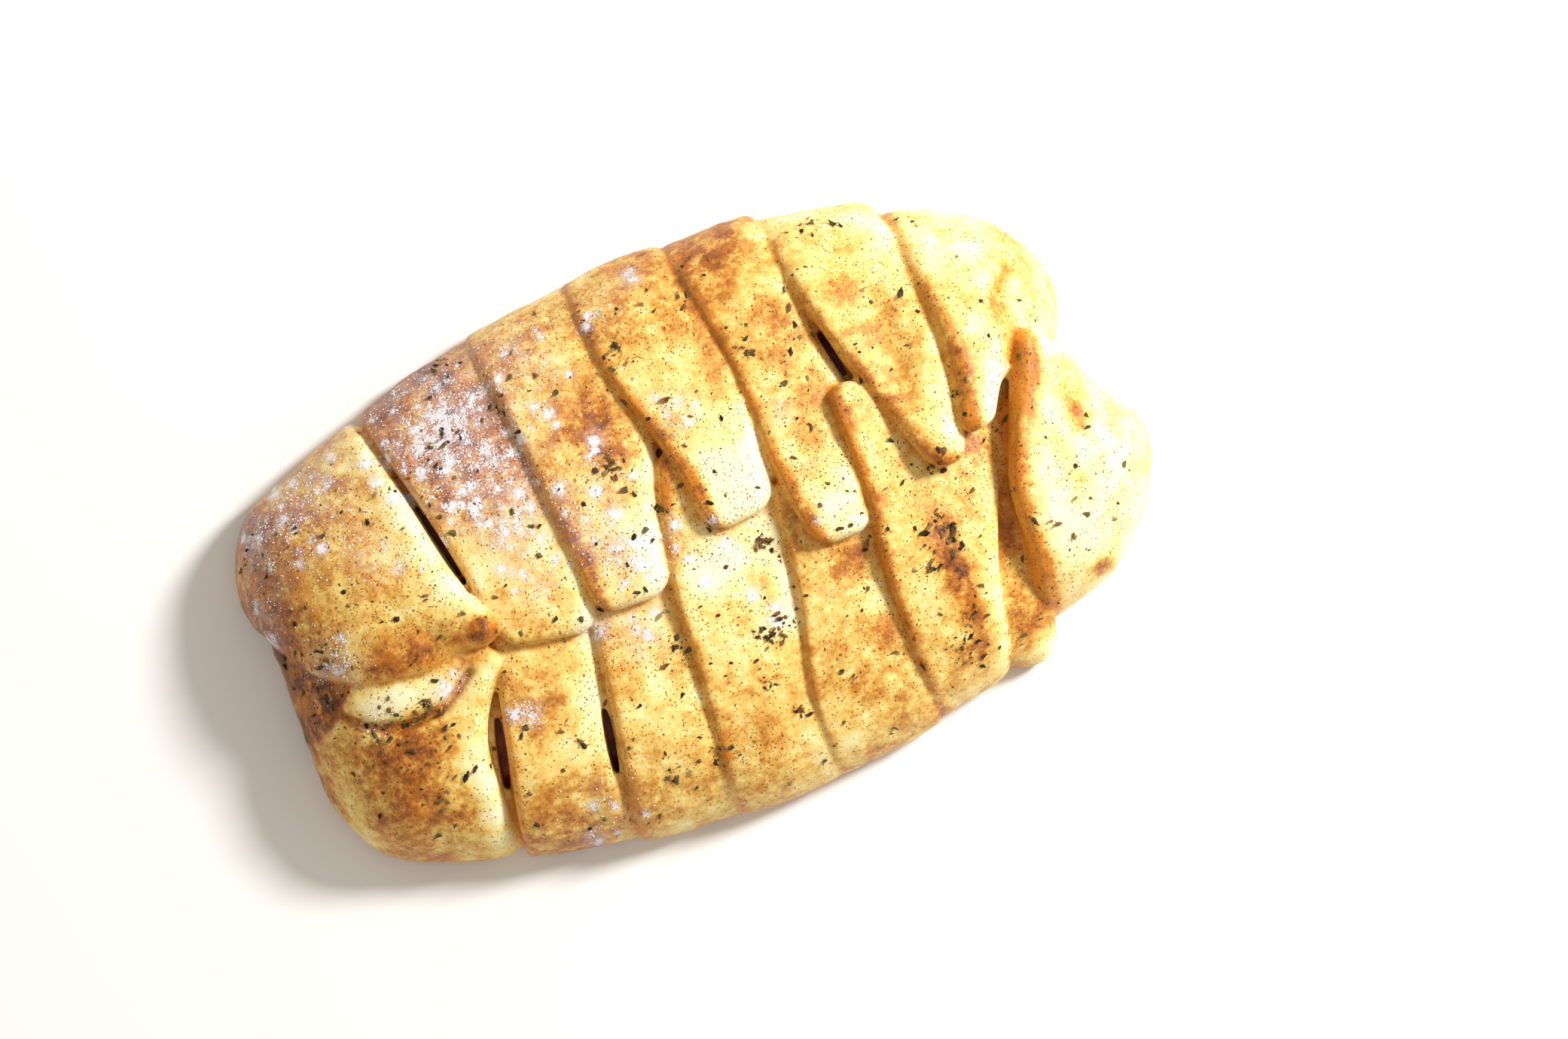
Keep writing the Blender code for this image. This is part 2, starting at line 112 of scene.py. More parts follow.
# The strips in the order they are laid: both edges from tip to foot, the foot's line where it is curved,
# how high they lie over the form in millimetres (tip left, tip right, foot left, foot right), edge radii
STRIPS = {
    "end": dict(
        left=[(-92, 14), (-108, 17), (-120, 21)], right=[(-92, -14), (-108, -18), (-121, -25)],
        lift=(-3, -3, -1.2, -1.2)),
    "tongue": dict(
        left=[(60, -24), (61, -50), (66, -69)], right=[(94, -20), (92, -44), (82.6, -62.6)],
        foot=[(66, -69), (76.5, -68.9), (82.6, -62.6)], lift=(-6, -6, -5, -5)),
    "near_2": dict(
        left=[(-61, 2), (-68, -30), (-77.6, -66)], right=[(-30, 2), (-40.6, -38), (-44.6, -73.5)],
        lift=(1, -1, 1.5, -1)),
    "near_3": dict(
        left=[(-33, 4), (-39.2, -35), (-46.6, -74)], right=[(-5, 4), (-10.6, -35), (-14.6, -77.6)],
        lift=(1.5, -1.5, 1.5, -1.5)),
    "near_4": dict(
        left=[(-2.5, 24), (-12.2, -14), (-14.4, -38), (-19.3, -77.5)],
        right=[(29, 20), (24, -12), (19.6, -36), (14, -78)], lift=(5, -1, 2.5, -1.5)),
    "near_5": dict(
        left=[(23, 6), (18.4, -28), (12.2, -52), (10.2, -77.8)],
        right=[(50, 4), (47, -35), (44.6, -74.5)], lift=(3, -1.5, 1.5, -1.5)),
    "near_1": dict(
        left=[(-61, -9), (-80, -1), (-101, -3), (-109, -11), (-121.6, -14.5)],
        right=[(-60.4, -15), (-66, -19.5), (-73.4, -32), (-75.6, -47), (-78.2, -64.8)],
        foot=[(-121.6, -14.5), (-120.6, -34), (-111, -51.5), (-95, -60), (-78.2, -65.3)],
        lift=(4, 1.5, 0.5, 0)),
    "far_2": dict(
        left=[(-59, -11), (-62.6, 12), (-66.8, 34), (-75.4, 64.2)],
        right=[(-33, -15.3), (-30, 22), (-32.5, 45), (-37.4, 72.8)], lift=(6.5, 5, 1, -2)),
    "far_3": dict(
        left=[(-32.5, -12), (-34.4, 18), (-36, 46), (-40.8, 72.6)],
        right=[(-11.5, -13.2), (-7.4, 7), (-1.4, 26), (-4, 52), (-7, 76.4)], lift=(8.5, 5.5, 2, -2)),
    "far_4": dict(
        left=[(3.6, -3.2), (0, 22), (-7.6, 50), (-10.6, 76.5)],
        right=[(23.2, -1.8), (25, 12), (28.6, 28), (25, 54), (20.8, 76.8)], lift=(9, 6, 2, -2)),
    "far_5": dict(
        left=[(28.2, -17), (25.4, 8), (24.8, 36), (18.4, 75.6)],
        right=[(46, -17.6), (53, 14), (51, 34), (50.6, 52), (48.2, 75)], lift=(8.5, 4.5, 2, -2)),
    "near_6": dict(
        left=[(46.5, 21), (45.8, -4), (42.6, -34), (41.2, -73.6)],
        right=[(53.6, 22.5), (73, 14), (88.5, 2), (83, -14), (76, -32), (71.5, -48), (70, -68)],
        lift=(8.5, 5, 2, 1), right_round=9, dip=12),
    "far_6": dict(
        left=[(65.5, -9.5), (56.5, 18), (49, 44), (44.3, 73.5)],
        right=[(75.4, -9.5), (80, 12), (83, 34), (82, 52), (79, 66)], lift=(11, 8, 2.5, -2), left_round=4),
    "far_7": dict(
        left=[(75.8, -4), (79, 20), (78.2, 46), (78, 62.6)],
        right=[(84.6, -3.5), (90, 4), (99, 8.5), (111.2, 9)],
        foot=[(78, 62.6), (93, 56.8), (108, 44.5), (115.4, 28), (111.2, 9)], lift=(12, 8.5, 3, 0), dip=5,
        left_round=3.4),
    "end_flap": dict(
        left=[(98.2, 18.8), (90.8, -3), (83.2, -20), (81.4, -40), (78.6, -60.2)],
        right=[(101.6, 17.6), (106.5, 12), (111.4, 6.5)],
        foot=[(78.6, -60.2), (103, -52.6), (119, -35.5), (124, -19), (119, -9), (113, -6), (111.4, 6.5)],
        lift=(6.5, 4, 3, 0), left_round=2),
    "far_1": dict(
        left=[(-60.6, -8.6), (-71, -6.8), (-80, -9.4), (-97, -6), (-108, 0), (-119, 12)],
        right=[(-57.6, -2), (-63.4, 10), (-68.6, 34), (-76, 63.6)],
        foot=[(-119, 12), (-123.4, 23), (-115.5, 46.5), (-95, 56.8), (-76, 64)], lift=(9, 8.5, 0.5, 0.5),
        right_round=3.6),
}

# Slits down to the filling: both ends in plan and width
SLITS = [
    ((-61.6, 4), (-69.6, 41), 1.8), ((-68.4, -25), (-74.6, -49), 2.7),
    ((-40.8, -34), (-45, -56), 2.4), ((53.9, 21), (50, 41), 2.0),
]

# How finely the crust is cut
STATIONS = 66  # cross-sections from a strip's tip to its foot
TIP_START = 0.2  # angle on the turned-down tip at which the first one lies
TIP_STATIONS = 8  # more of them round the tip
FOOT_CROWDING = 1.75  # how much closer together they lie towards the foot, as a power
CORNER_STEPS = 6
ACROSS = 1.0  # plan units between a face's points across a strip
BASE_STEPS = 6
MOUND_RINGS = 30
VOXEL = 0.0007  # the joined crust is cut anew into cells of this size

# How toasted each strip is, at its tip, at its foot, on its left wall and along the top of that wall near
# the tip: 0 is pale and 1 nearly burnt
TOASTED = {
    # partly painted shade: the end and the tongue lie low, the end under far_1 at the left end and the tongue
    # in the valley before the end flap, and their browning is part real toast, part shade
    "end": (0.90, 0.84, 0.1, 0),
    "tongue": (0.38, 0.52, 0.1, 0),
    "near_1": (0.45, 0.41, 0, 0),
    "near_2": (0.24, 0.42, 0.08, 0.1),
    "near_3": (0.18, 0.36, 0.06, 0.1),
    "near_4": (0.14, 0.34, 0.12, 0.36),
    "near_5": (0.24, 0.36, 0.06, 0.2),
    "near_6": (0.36, 0.22, 0.34, 0.30),
    "far_1": (0.27, 0.38, -0.05, 0.1),
    "far_2": (0.22, 0.62, 0.06, 0),
    "far_3": (0.16, 0.40, 0.10, 0.34),
    "far_4": (0.12, 0.34, 0.22, 0.46),
    "far_5": (0.14, 0.45, 0.30, 0.46),
    "far_6": (0.30, 0.27, 0.14, 0.26),
    "far_7": (0.14, 0.16, 0.16, 0.34),
    "end_flap": (0.12, 0.12, 0.36, 0.16),
}

# Where these reach, in metres; a pair holds where an effect begins and ends to fade
FOOT_BROWNED = 0.9  # the foot's level is reached at this share of the strip
WALL_FADE = (0.0020, 0.0044)  # the left wall, from the left edge
WALL_TOP = (0.0030, 0.0018)  # the top of that wall: its distance from the left edge and its spread
WALL_TOP_FADE = (0.012, 0.042)  # where it fades, from the tip
VALLEY_FADE = (0.002, 0.011)  # the pale valley at the right edge
VALLEY_CHANGE = -0.18
VALLEY_FOOT_SHARE = 0.45  # how much weaker the valley is at the foot
CREASE_CHANGE = 90  # in creases, to each metre of depth
CREASE_STAIN = 1.6  # and how wide, in plan units
# Painted shade: browner dough where the crust lies off the strips, on the valley floors between them
SEAM_GAP, SEAM_SHADE_CHANGE = (0.0015, 0.006), 0.25  # where the crust lies off the strips
BASE_FADE, BASE_CHANGE = (0.002, 0.008), 0.10
# painted shade: browner dough in narrow hollows
CREASE_SHADE_CHANGE = 0.20
CLOUDS = [(0.12, 0.014, 3), (0.06, 0.0045, 9)]  # change, size of the clouds and seed
STREAKS = (0.05, 0.012, 5)
BLOTCHES = [(0.16, (0.15, 0.75), 0.011, 13), (-0.13, (0.1, 0.7), 0.013, 17)]

# Painted shade in the hollows: how far a point sinks below its surroundings, and its share of the shade's
# darker gold; the left walls take a share of it too
NEAR_BLURS, NEAR_HOLLOW, NEAR_SHADE_SHARE = 14, (0.00010, 0.00090), 0.6
WIDE_BLURS, WIDE_HOLLOW, WIDE_SHADE_SHARE = 50, (0.00015, 0.00180), 0.8
SIDE_FADE, SIDE_SHADE_SHARE = (0.0012, 0.0032), 0.7

# Browner (above 0) and paler (below 0) patches on each strip, some of the browner ones painted shade: middle
# in plan, reach along X and Y, change
PATCHES = {
    "far_1": [
        ((-108, 44), (24, 12), 0.20), ((-118, 14), (12, 24), 0.34), ((-61.5, -4), (5, 4), 0.70),
        ((-88, -3), (24, 5), 0.30), ((-72, 20), (8, 26), -0.14), ((-90, 28), (14, 14), -0.06),
    ],
    "near_1": [
        ((-91, -12), (17, 6), -0.46), ((-79, -40), (6, 26), -0.30), ((-102, -26), (16, 7), 0.16),
        ((-70, -15), (10, 4), -0.2),
    ],
    "far_2": [((-48, -8), (10, 6), 0.06), ((-60, 0), (5, 14), -0.10)],
    "far_3": [((-12, 36), (8, 12), 0.36), ((-22, -3), (11, 11), 0.08), ((-30, 8), (4, 16), 0.14)],
    "near_2": [((-64, -58), (10, 9), 0.16)],
    # painted shade: the near_3 patch darkens its top under far_3's tip
    "near_3": [((-28, -16), (12, 9), 0.10)],
    # painted shade: far_4's second patch darkens its right side at the foot of far_5's wall
    "far_4": [((12, 6), (9, 14), -0.10), ((22, 44), (4, 22), 0.30)],
    "near_4": [((-2, 8), (8, 12), 0.12), ((3, -10), (12, 7), -0.34)],
    "near_5": [((36, -23), (9, 6), 0.32)],
    "far_5": [((38, -6), (8, 14), -0.08)],
    # painted shade: far_6's first patch darkens its hollow middle
    "far_6": [((67, 27), (8, 24), 0.08), ((62, 44), (4, 5), 0.12), ((70, -9), (4.5, 4), 0.40)],
    "far_7": [((79, 0), (4, 5), 0.30), ((98, 24), (4, 8), 0.16)],
    "near_6": [
        ((61, -38), (4.5, 19), 0.58), ((57, -59), (6, 4), 0.40), ((54, -62), (7, 10), 0.10),
        # painted shade: the patch at (80, -4) darkens near_6's right side in the valley beside the end flap
        ((80, -4), (6, 14), 0.22), ((50, 8), (4, 16), -0.20),
    ],
    "end_flap": [
        ((99, 11), (2.6, 8), 0.92), ((107, -9.5), (3, 5.5), 0.50), ((99, -51), (4, 2.5), 0.50),
        ((84, -50), (3, 10), 0.24),
    ],
    "tongue": [((78, -67), (10, 6), -0.66)],
}

# Creases in the dough: strip, path in plan and depth in metres
CREASES = {
    "near_1": ([(-110, -9), (-98, -18), (-81, -19), (-71, -13)], 0.0034),
    "far_7": ([(104, 34), (97, 27), (97.5, 20), (95, 11)], 0.0024),
}
CREASE_WIDTH = 1.5

# Swells (above 0) and hollows (below 0) on each strip: middle in plan, reach along X and Y, height
SWELLS = {
    "far_6": [((66, 28), (7, 26), -0.0024), ((53, 40), (4, 26), 0.0010)],
    "near_1": [((-91, -12), (17, 5.5), 0.0013)],
    "far_1": [((-62, -4), (5, 5), 0.0020), ((-76, -1), (5, 6), -0.0014)],
    "far_7": [((92, 30), (5, 14), 0.0014), ((106, 22), (5, 8), 0.0012)],
    "end_flap": [((96, -20), (5, 20), -0.0016), ((88, -14), (4, 20), 0.0010)],
}
BROAD_RELIEF = (0.0005, 0.022)  # the dough's uneven surface: height and size of its lumps
FINE_RELIEF = (0.00022, 0.0035)

# How thickly spice lies: at a toasting level of SPICE_TOAST, and with more toasting, clouds and walls
SPICE_LEVEL, SPICE_TOAST = 0.42, 0.25
SPICE_BY_TOAST, SPICE_BY_WALL = 0.55, 1.5
SPICE_CLOUDS = (0.26, 0.012, 21)
# partly painted shade: the extra spots and oil stains on near_6's right side are real, and they also darken
# it as the valley's shade
SPICE_PATCH = ("near_6", (83, -6), (7, 18), 0.5)

# Where flour lies, and one grey film painted as shade: middle in plan, radius in plan units, cover
FLOURED = [
    ((-112, 43), 15, 0.50), ((-53, 56), 22, 0.78), ((-50, 36), 17, 0.84), ((-46, 18), 9, 0.62),
    ((-44, 2), 8, 0.46), ((-104, 2), 8, 0.62), ((-92, 50), 18, 0.44), ((-118, 22), 9, 0.40),
    # painted shade: the place at (-25, -18) lays a grey film for the soft shade under far_3's tip, with some
    # flour grains
    ((-84, 26), 8, 0.30), ((-18, 1), 9, 1.15), ((-25, -18), 8, 0.42), ((0, -8), 8, 0.25),
    ((-26, 14), 10, 0.50), ((-60, -29), 4, 0.85), ((-26, 58), 14, 0.46), ((-18, 24), 9, 0.26),
    ((13, -28), 4, 0.80), ((-37, -14), 3, 0.90), ((8, 30), 6, 0.46), ((0, 66), 8, 0.22),
    ((-74, -14), 4, 0.40), ((-100, -16), 4, 0.60), ((14, -12), 5, 0.35), ((-50, -60), 10, 0.14),
    ((33, 20), 4, 0.35), ((36, -12), 4, 0.35), ((-24, -24), 6, 0.25),
]
FLOUR_MOST = 1.05
FLOUR_HEIGHTS = (-0.003, 0.015)  # heights at which it begins and is full
FLOUR_LEVELS = (-0.35, 0.6)  # and levels on a strip's slab
FLOUR_CLOUDS = (0.5, 0.008, 31)
FLOUR_CLUMPS = (0.5, 0.0022, 37)
FLOUR_ON_END = 0.1
FLOUR_SPREAD = 0.62  # of the grains round a floured place's middle, in its radii
FLOUR_HEAPS = 210
HEAP_RADII = (0.5, 2.3)  # from the smallest to the largest, in plan units
HEAP_REACH = 1.5
HEAP_GRAINS = 12

# Where herbs lie thickest, in plan, with the spread and the number of flakes
HERB_CLUMPS = [
    ((-48, 69), 2.0, 26), ((-15, 24), 1.8, 26), ((-7, 8), 1.6, 14), ((15, -9), 1.4, 16),
    ((8, -35), 2.4, 30), ((13, -33), 1.6, 18), ((3, -46), 1.2, 10), ((9, -56), 1.2, 12),
    ((-17, -59), 1.4, 10), ((-31, -60), 1.6, 10), ((-99, -19), 3.0, 30), ((-92, -19), 2.4, 26),
    ((-84, -17), 2.4, 24), ((-90, -34), 9, 34), ((-17, -27), 1.2, 10), ((62, -24), 2.4, 34),
    ((64, -30), 1.8, 14), ((55, -34), 1.6, 14), ((57, -57), 2.6, 24), ((61, -49), 2.2, 16),
    ((-112, 3), 5, 30), ((-112, -6), 4, 20), ((79, 7), 1.2, 8), ((-2, 52), 1.6, 12),
    ((-116, 36), 4, 18), ((-52, 50), 4, 24), ((68, -8), 2, 12), ((-60, 38), 5, 14),
    ((20, 58), 1.5, 8), ((30, 40), 3, 16), ((60, 66), 3, 12), ((46, -20), 2, 10), ((-38, 52), 2, 8),
]
HERB_FLAKES = 620  # scattered beside the clumps
HERB_DUST = 17000
SPICE_GRAINS = 22000
FLOUR_GRAINS = 7000
DUST_DRIFTS = (11, 61)  # size of the drifts in plan units, and seed
SPICE_DRIFTS = (14, 71)
SEED = 11

# Small bodies: radii from the smallest to the largest in metres, shares of the radius along the body's
# three axes, how much it curls, and how high its middle lies in shares of its radius
HERB_FORM = ((0.00024, 0.00135), (1.0, 0.58, 0.34), 0.5, 0.12)
DUST_FORM = ((0.00010, 0.00040), (1.0, 0.5, 0.4), 0, 0.1)
SPICE_FORM = ((0.00011, 0.00044), (1.0, 0.5, 0.35), 0, 0.1)
FLOUR_FORM = ((0.00009, 0.00034), (1.0, 0.9, 0.6), 0, 0.15)
FLAKE_SIDES = 6
GRAIN_SIDES = 4
UNEVEN = (0.5, 1.45)  # how far each point of a body is drawn in or out
TILT = 0.22
STEEPEST = 0.3  # upward share of the crust's normal under which nothing stays lying
DROP_HEIGHT = 0.1
RIM_MARGIN = 0.004  # and nothing lies closer to the rim in plan
PLAN_REACH = (122, 76)

# Colours of the dough from pale to nearly burnt, and of the other things from one chance value to the next
DOUGH = [
    (0.0, (251, 242, 198)), (0.13, (245, 227, 156)), (0.28, (235, 199, 108)), (0.45, (209, 150, 64)),
    (0.64, (172, 100, 34)), (0.95, (88, 42, 20)),
]
SPECKS = [(0.0, (206, 124, 36)), (0.6, (160, 80, 24)), (0.88, (96, 62, 30)), (1.0, (56, 42, 26))]
HERB = [
    (0.0, (46, 36, 26)), (0.35, (78, 64, 42)), (0.6, (112, 98, 60)), (0.8, (118, 72, 34)),
    (1.0, (168, 140, 92)),
]
SPICE = [(0.0, (122, 50, 16)), (0.5, (176, 84, 22)), (1.0, (208, 128, 44))]
FLOUR = [(0.0, (236, 236, 240)), (1.0, (250, 250, 252))]
FILLING = [(0.3, (104, 30, 14)), (0.55, (160, 56, 20)), (0.75, (196, 96, 36))]

# Colours mixed over the dough, each with its strength
OIL, OIL_STRENGTH = (212, 128, 22), 0.80
# painted shade: a warm darker gold mixed into the hollows and onto the left walls
SHADE_GOLD, SHADE_GOLD_STRENGTH = (228, 152, 50), 0.66
FILM, FILM_STRENGTH = (198, 194, 206), 0.55
POWDER, POWDER_STRENGTH = (238, 237, 242), 0.85
SPECK_STRENGTH = 0.82
SPECK_LAYERS = [(1300.0, 0.40, 0.55, 0.11), (620.0, 0.30, 0.30, 0.37)]  # scale, size, share, shift

# Light: the even light from all round, and one lamp, its azimuth counted from +X towards +Y
WORLD_COLOUR = (1.0, 0.935, 0.82, 1)
WORLD_STRENGTH = 0.54
KEY_AZIMUTH, KEY_ELEVATION = 12, 38
KEY_DISTANCE = 1.6
KEY_SIZE = 0.36
KEY_POWER = 34
KEY_COLOUR = (1.0, 0.985, 0.97)
FLOOR_SIZE = 3.0
FLOOR_HEIGHT = -0.0002
FLOOR_COLOUR = (0.9, 0.9, 0.9, 1)

# The view, straight down on a point of the plan, with the frame's width in metres at the height VIEW_PLANE
VIEW_AT = (0.0233, -0.0064)
VIEW_PLANE = 0.020
VIEW_TURN = -22.0
VIEW_WIDTH = 0.4268
VIEW_HEIGHT = 1.3
SENSOR = 36.0
CLIP_START = 0.05


# ---- numbers and curves

def step(low, high, value):
    """0 below low, 1 above high, and smooth between."""
    t = np.clip((value - low) / (high - low), 0, 1)
    return t * t * (3 - 2 * t)


def smooth_path(points, fractions):
    """A smooth curve through points, read at fractions of its length."""
    points = np.array(points, float)
    steps = np.hypot(*np.diff(points, axis=0).T)
    knots = np.concatenate([[0.0], np.cumsum(steps)]) / steps.sum()
    slopes = np.gradient(points, knots, axis=0)
    span = np.clip(np.searchsorted(knots, fractions, side="right") - 1, 0, len(knots) - 2)
    width = (knots[span + 1] - knots[span])[..., None]
    t = (np.asarray(fractions)[..., None] - knots[span][..., None]) / width
    return ((2 * t**3 - 3 * t**2 + 1) * points[span] + (t**3 - 2 * t**2 + t) * width * slopes[span]
            + (3 * t**2 - 2 * t**3) * points[span + 1] + (t**3 - t**2) * width * slopes[span + 1])


def closed_path(points, count):
    """count points on the smooth closed curve through points."""
    turns = np.array(points * 3, float)
    return smooth_path(turns, np.linspace(1 / 3, 2 / 3, count, endpoint=False))


def noise(points, size, seed=0):
    """Smooth noise from -1 to 1 with lumps of about that size, at points of shape (..., 3)."""
    place = points / size + seed * 13.37
    cell = np.floor(place).astype(np.int64)
    t = place - cell
    t = t * t * (3 - 2 * t)
    total = np.zeros(points.shape[:-1])
    for corner in itertools.product((0, 1), repeat=3):
        at = cell + np.array(corner)
        mixed = at[..., 0] * 374761393 + at[..., 1] * 668265263 + at[..., 2] * 1103515245 + seed * 7919
        mixed = (mixed ^ (mixed >> 13)) * 1274126177
        value = ((mixed ^ (mixed >> 16)) & 0xFFFF) / 65535.0
        share = np.prod(np.where(np.array(corner) == 1, t, 1 - t), axis=-1)
        total += share * value
    return total * 2 - 1


def rough(points, size, seed=0, octaves=3):
    """Noise with finer noise on it."""
    return sum(noise(points, size / 2**k, seed + k) / 2**k for k in range(octaves))


def clouds(points, row, octaves=3):
    """Such noise by a row of its strength, the size of its lumps and its seed."""
    strength, size, seed = row
    return strength * rough(points, size, seed, octaves)


# ---- the loaf's form

RIM = closed_path(OUTLINE, RIM_COUNT) * UNIT
RIM_NEXT = np.roll(RIM, -1, axis=0)
RIM_TANGENT = np.roll(RIM, -1, axis=0) - np.roll(RIM, 1, axis=0)
RIM_TANGENT /= np.hypot(*RIM_TANGENT.T)[:, None]
RIM_NORMAL = np.stack([RIM_TANGENT[:, 1], -RIM_TANGENT[:, 0]], axis=1)


def rim_distance(plan):
    """How far each plan point lies inside the rim (negative outside), and the way out from there."""
    offset = plan[..., None, :] - RIM
    along = RIM_NEXT - RIM
    share = np.clip((offset * along).sum(-1) / (along * along).sum(-1), 0, 1)
    gap = offset - share[..., None] * along
    nearest = np.argmin((gap * gap).sum(-1), axis=-1)
    gap = np.take_along_axis(gap, nearest[..., None, None], axis=-2)[..., 0, :]
    share = np.take_along_axis(share, nearest[..., None], axis=-1)
    following = (nearest + 1) % len(RIM)
    normal = RIM_NORMAL[nearest] * (1 - share) + RIM_NORMAL[following] * share
    normal /= np.hypot(normal[..., 0], normal[..., 1])[..., None]
    inside = np.where((gap * normal).sum(-1) < 0, 1.0, -1.0)
    return inside * np.hypot(gap[..., 0], gap[..., 1]), normal


def lay(plan, offset):
    """Points over plan places, at an offset from the loaf's domed form along its normal."""
    distance, out = rim_distance(plan)
    rim = np.clip(1 - distance / SHOULDER, 0, 1)
    top = RISE + CROWN * np.clip(1 - (plan[..., 1] / CROWN_REACH) ** 2, 0, 1)
    level = np.clip(1 - rim**ROUNDNESS, 0, 1) ** (1 / ROUNDNESS)
    sideways = rim ** (ROUNDNESS - 1) / SHOULDER
    upward = level ** (ROUNDNESS - 1) / top
    length = np.hypot(sideways, upward)
    height = top * level + upward / length * offset
    turned_in = TUCK * np.clip(1 - height / TUCK_HEIGHT, 0, 1) ** 2
    flat = plan + out * (sideways / length * offset - turned_in)[..., None]
    return np.concatenate([flat, height[..., None]], axis=-1)


def ring_places(corner_steps, top_steps, base_steps):
    """A slab's cross-section: (side, inset, level) round it, with level 1 on its face and -1 under it."""
    turn = np.linspace(0, math.pi / 2, corner_steps + 1)
    corner = [(1 - math.cos(a), math.sin(a)) for a in turn]
    ring = [(0, inset, level) for inset, level in corner]
    ring += [(k / top_steps, 1.0, 1.0) for k in range(1, top_steps)]
    ring += [(1, inset, level) for inset, level in reversed(corner)]
    ring += [(1, inset, -level) for inset, level in corner[1:]]
    ring += [(1 - k / base_steps, 1.0, -1.0) for k in range(1, base_steps)]
    ring += [(0, inset, -level) for inset, level in reversed(corner[1:])]
    return np.array(ring)


def station_fractions(steps, tip_share):
    """Fractions along a strip: close together round the tip, and down the side at the foot."""
    tip = tip_share * (1 - np.cos(np.linspace(TIP_START, math.pi / 2, TIP_STATIONS)))
    rest = np.linspace(0, 1, steps + 1)[1:]
    return np.concatenate([tip, tip_share + (1 - tip_share) * (1 - (1 - rest) ** FOOT_CROWDING)])


def strip_surface(name, left, right, lift, foot=None, left_round=LEFT_ROUND, right_round=RIGHT_ROUND,
                  dip=0):
    """The strip's cross-sections, and for each point how far it is from the left edge, the right edge and
    the tip, its level on the slab and its fraction of the strip's length."""
    length = UNIT * sum(np.hypot(*np.diff(edge, axis=0).T).sum() for edge in (left, right)) / 2
    u = station_fractions(STATIONS, TIP_EDGE / length)
    left_edge = smooth_path(left, u) * UNIT
    right_edge = smooth_path(right, u) * UNIT
    width = np.hypot(*(right_edge - left_edge).T)
    ring = ring_places(CORNER_STEPS, int(width.max() / UNIT / ACROSS), BASE_STEPS)

    left_round = np.minimum(left_round * UNIT, EDGE_SHARE * width)[:, None]
    right_round = np.minimum(right_round * UNIT, EDGE_SHARE * width)[:, None]
    inset = np.where(ring[:, 0] < 0.5, left_round, right_round) * ring[:, 1]
    flat_width = width[:, None] - left_round - right_round
    across = np.where(ring[:, 0] == 0, inset, np.where(ring[:, 0] == 1, width[:, None] - inset,
                      left_round + ring[:, 0] * flat_width)) / width[:, None]

    from_tip = u * length
    corner = np.clip(1 - from_tip / np.minimum(TIP_ROUND, TIP_SHARE * width), 0, 1)
    narrowed = 1 - 2 * np.minimum(TIP_ROUND / width, TIP_SHARE) * (1 - np.sqrt(1 - corner**2))
    across = 0.5 + (across - 0.5) * narrowed[:, None]

    # A patch between the two edges, the line across the tip and the foot's outline
    v = across[..., None]
    foot_line = left_edge[-1] * (1 - v) + right_edge[-1] * v
    foot_curve = foot_line if foot is None else smooth_path(foot, across) * UNIT
    plan = left_edge[:, None] * (1 - v) + right_edge[:, None] * v
    plan = plan + u[:, None, None] * (foot_curve - foot_line)

    tip_left, tip_right, foot_left, foot_right = (0.001 * value for value in lift)
    along = u * u * (3 - 2 * u)
    face = ((tip_left * (1 - across) + tip_right * across) * (1 - along[:, None])
            + (foot_left * (1 - across) + foot_right * across) * along[:, None])
    sink = np.exp(-(((u - DIP_PLACE) / DIP_REACH) ** 2))[:, None]
    face = face - 0.001 * dip * across**1.5 * sink
    beyond, way_out = rim_distance(foot_curve)
    reach = (u**FOOT_POWER)[:, None]
    plan = plan + (reach * beyond)[..., None] * way_out
    face = face * (1 - reach) - reach * beyond
    face = face + STRIP_CROWN * 4 * across * (1 - across)

    rounded = np.sqrt(1 - np.clip(1 - from_tip / TIP_EDGE, 0, 1) ** 2)[:, None]
    sunk = np.clip((u - UNDER_START) / UNDER_REACH, 0, 1)[:, None]
    under = face - STRIP_THICKNESS * (1 - sunk) - np.maximum(face + STRIP_THICKNESS, STRIP_THICKNESS) * sunk
    face = face + relief(name, plan)
    middle = (face + under) / 2
    offset = middle + (face - under) / 2 * rounded * ring[:, 2]
    rings = lay(plan, offset)
    places = np.stack([across * width[:, None], (1 - across) * width[:, None],
                       from_tip[:, None] + 0 * across, ring[:, 2] + 0 * across,
                       u[:, None] + 0 * across], axis=-1)
    buried = rings[-1:].copy()
    buried[..., 2] = -BURIED
    return np.concatenate([rings, buried]), np.concatenate([places, places[-1:]])


def hump(plan, middle, reach):
    """1 at a middle in plan, falling smoothly to 0 at about the reach along X and Y."""
    away = (plan / UNIT - np.array(middle)) / np.array(reach)
    return np.exp(-1.4 * (away * away).sum(-1))


def groove(plan, path, width):
    """1 along a path in plan, falling smoothly to 0 at about the width beside it."""
    line = smooth_path(path, np.linspace(0, 1, 40))
    away = np.min(np.hypot(*(plan[..., None, :] / UNIT - line).transpose(-1, *range(plan.ndim))), axis=-1)
    return np.exp(-1.4 * (away / width) ** 2)


def relief(name, plan):
    """How far the dough swells and sinks on a strip's face, beside its even crown, in metres."""
    seed = list(STRIPS).index(name)
    spot = np.concatenate([plan, np.full(plan.shape[:-1] + (1,), 0.037 * seed)], axis=-1)
    broad, broad_size = BROAD_RELIEF
    fine, fine_size = FINE_RELIEF
    height = broad * rough(spot, broad_size, seed, 3) + fine * rough(spot, fine_size, seed + 40, 2)
    if name in CREASES:
        path, depth = CREASES[name]
        height = height - depth * groove(plan, path, CREASE_WIDTH)
    for middle, reach, rise in SWELLS.get(name, []):
        height = height + rise * hump(plan, middle, reach)
    return height


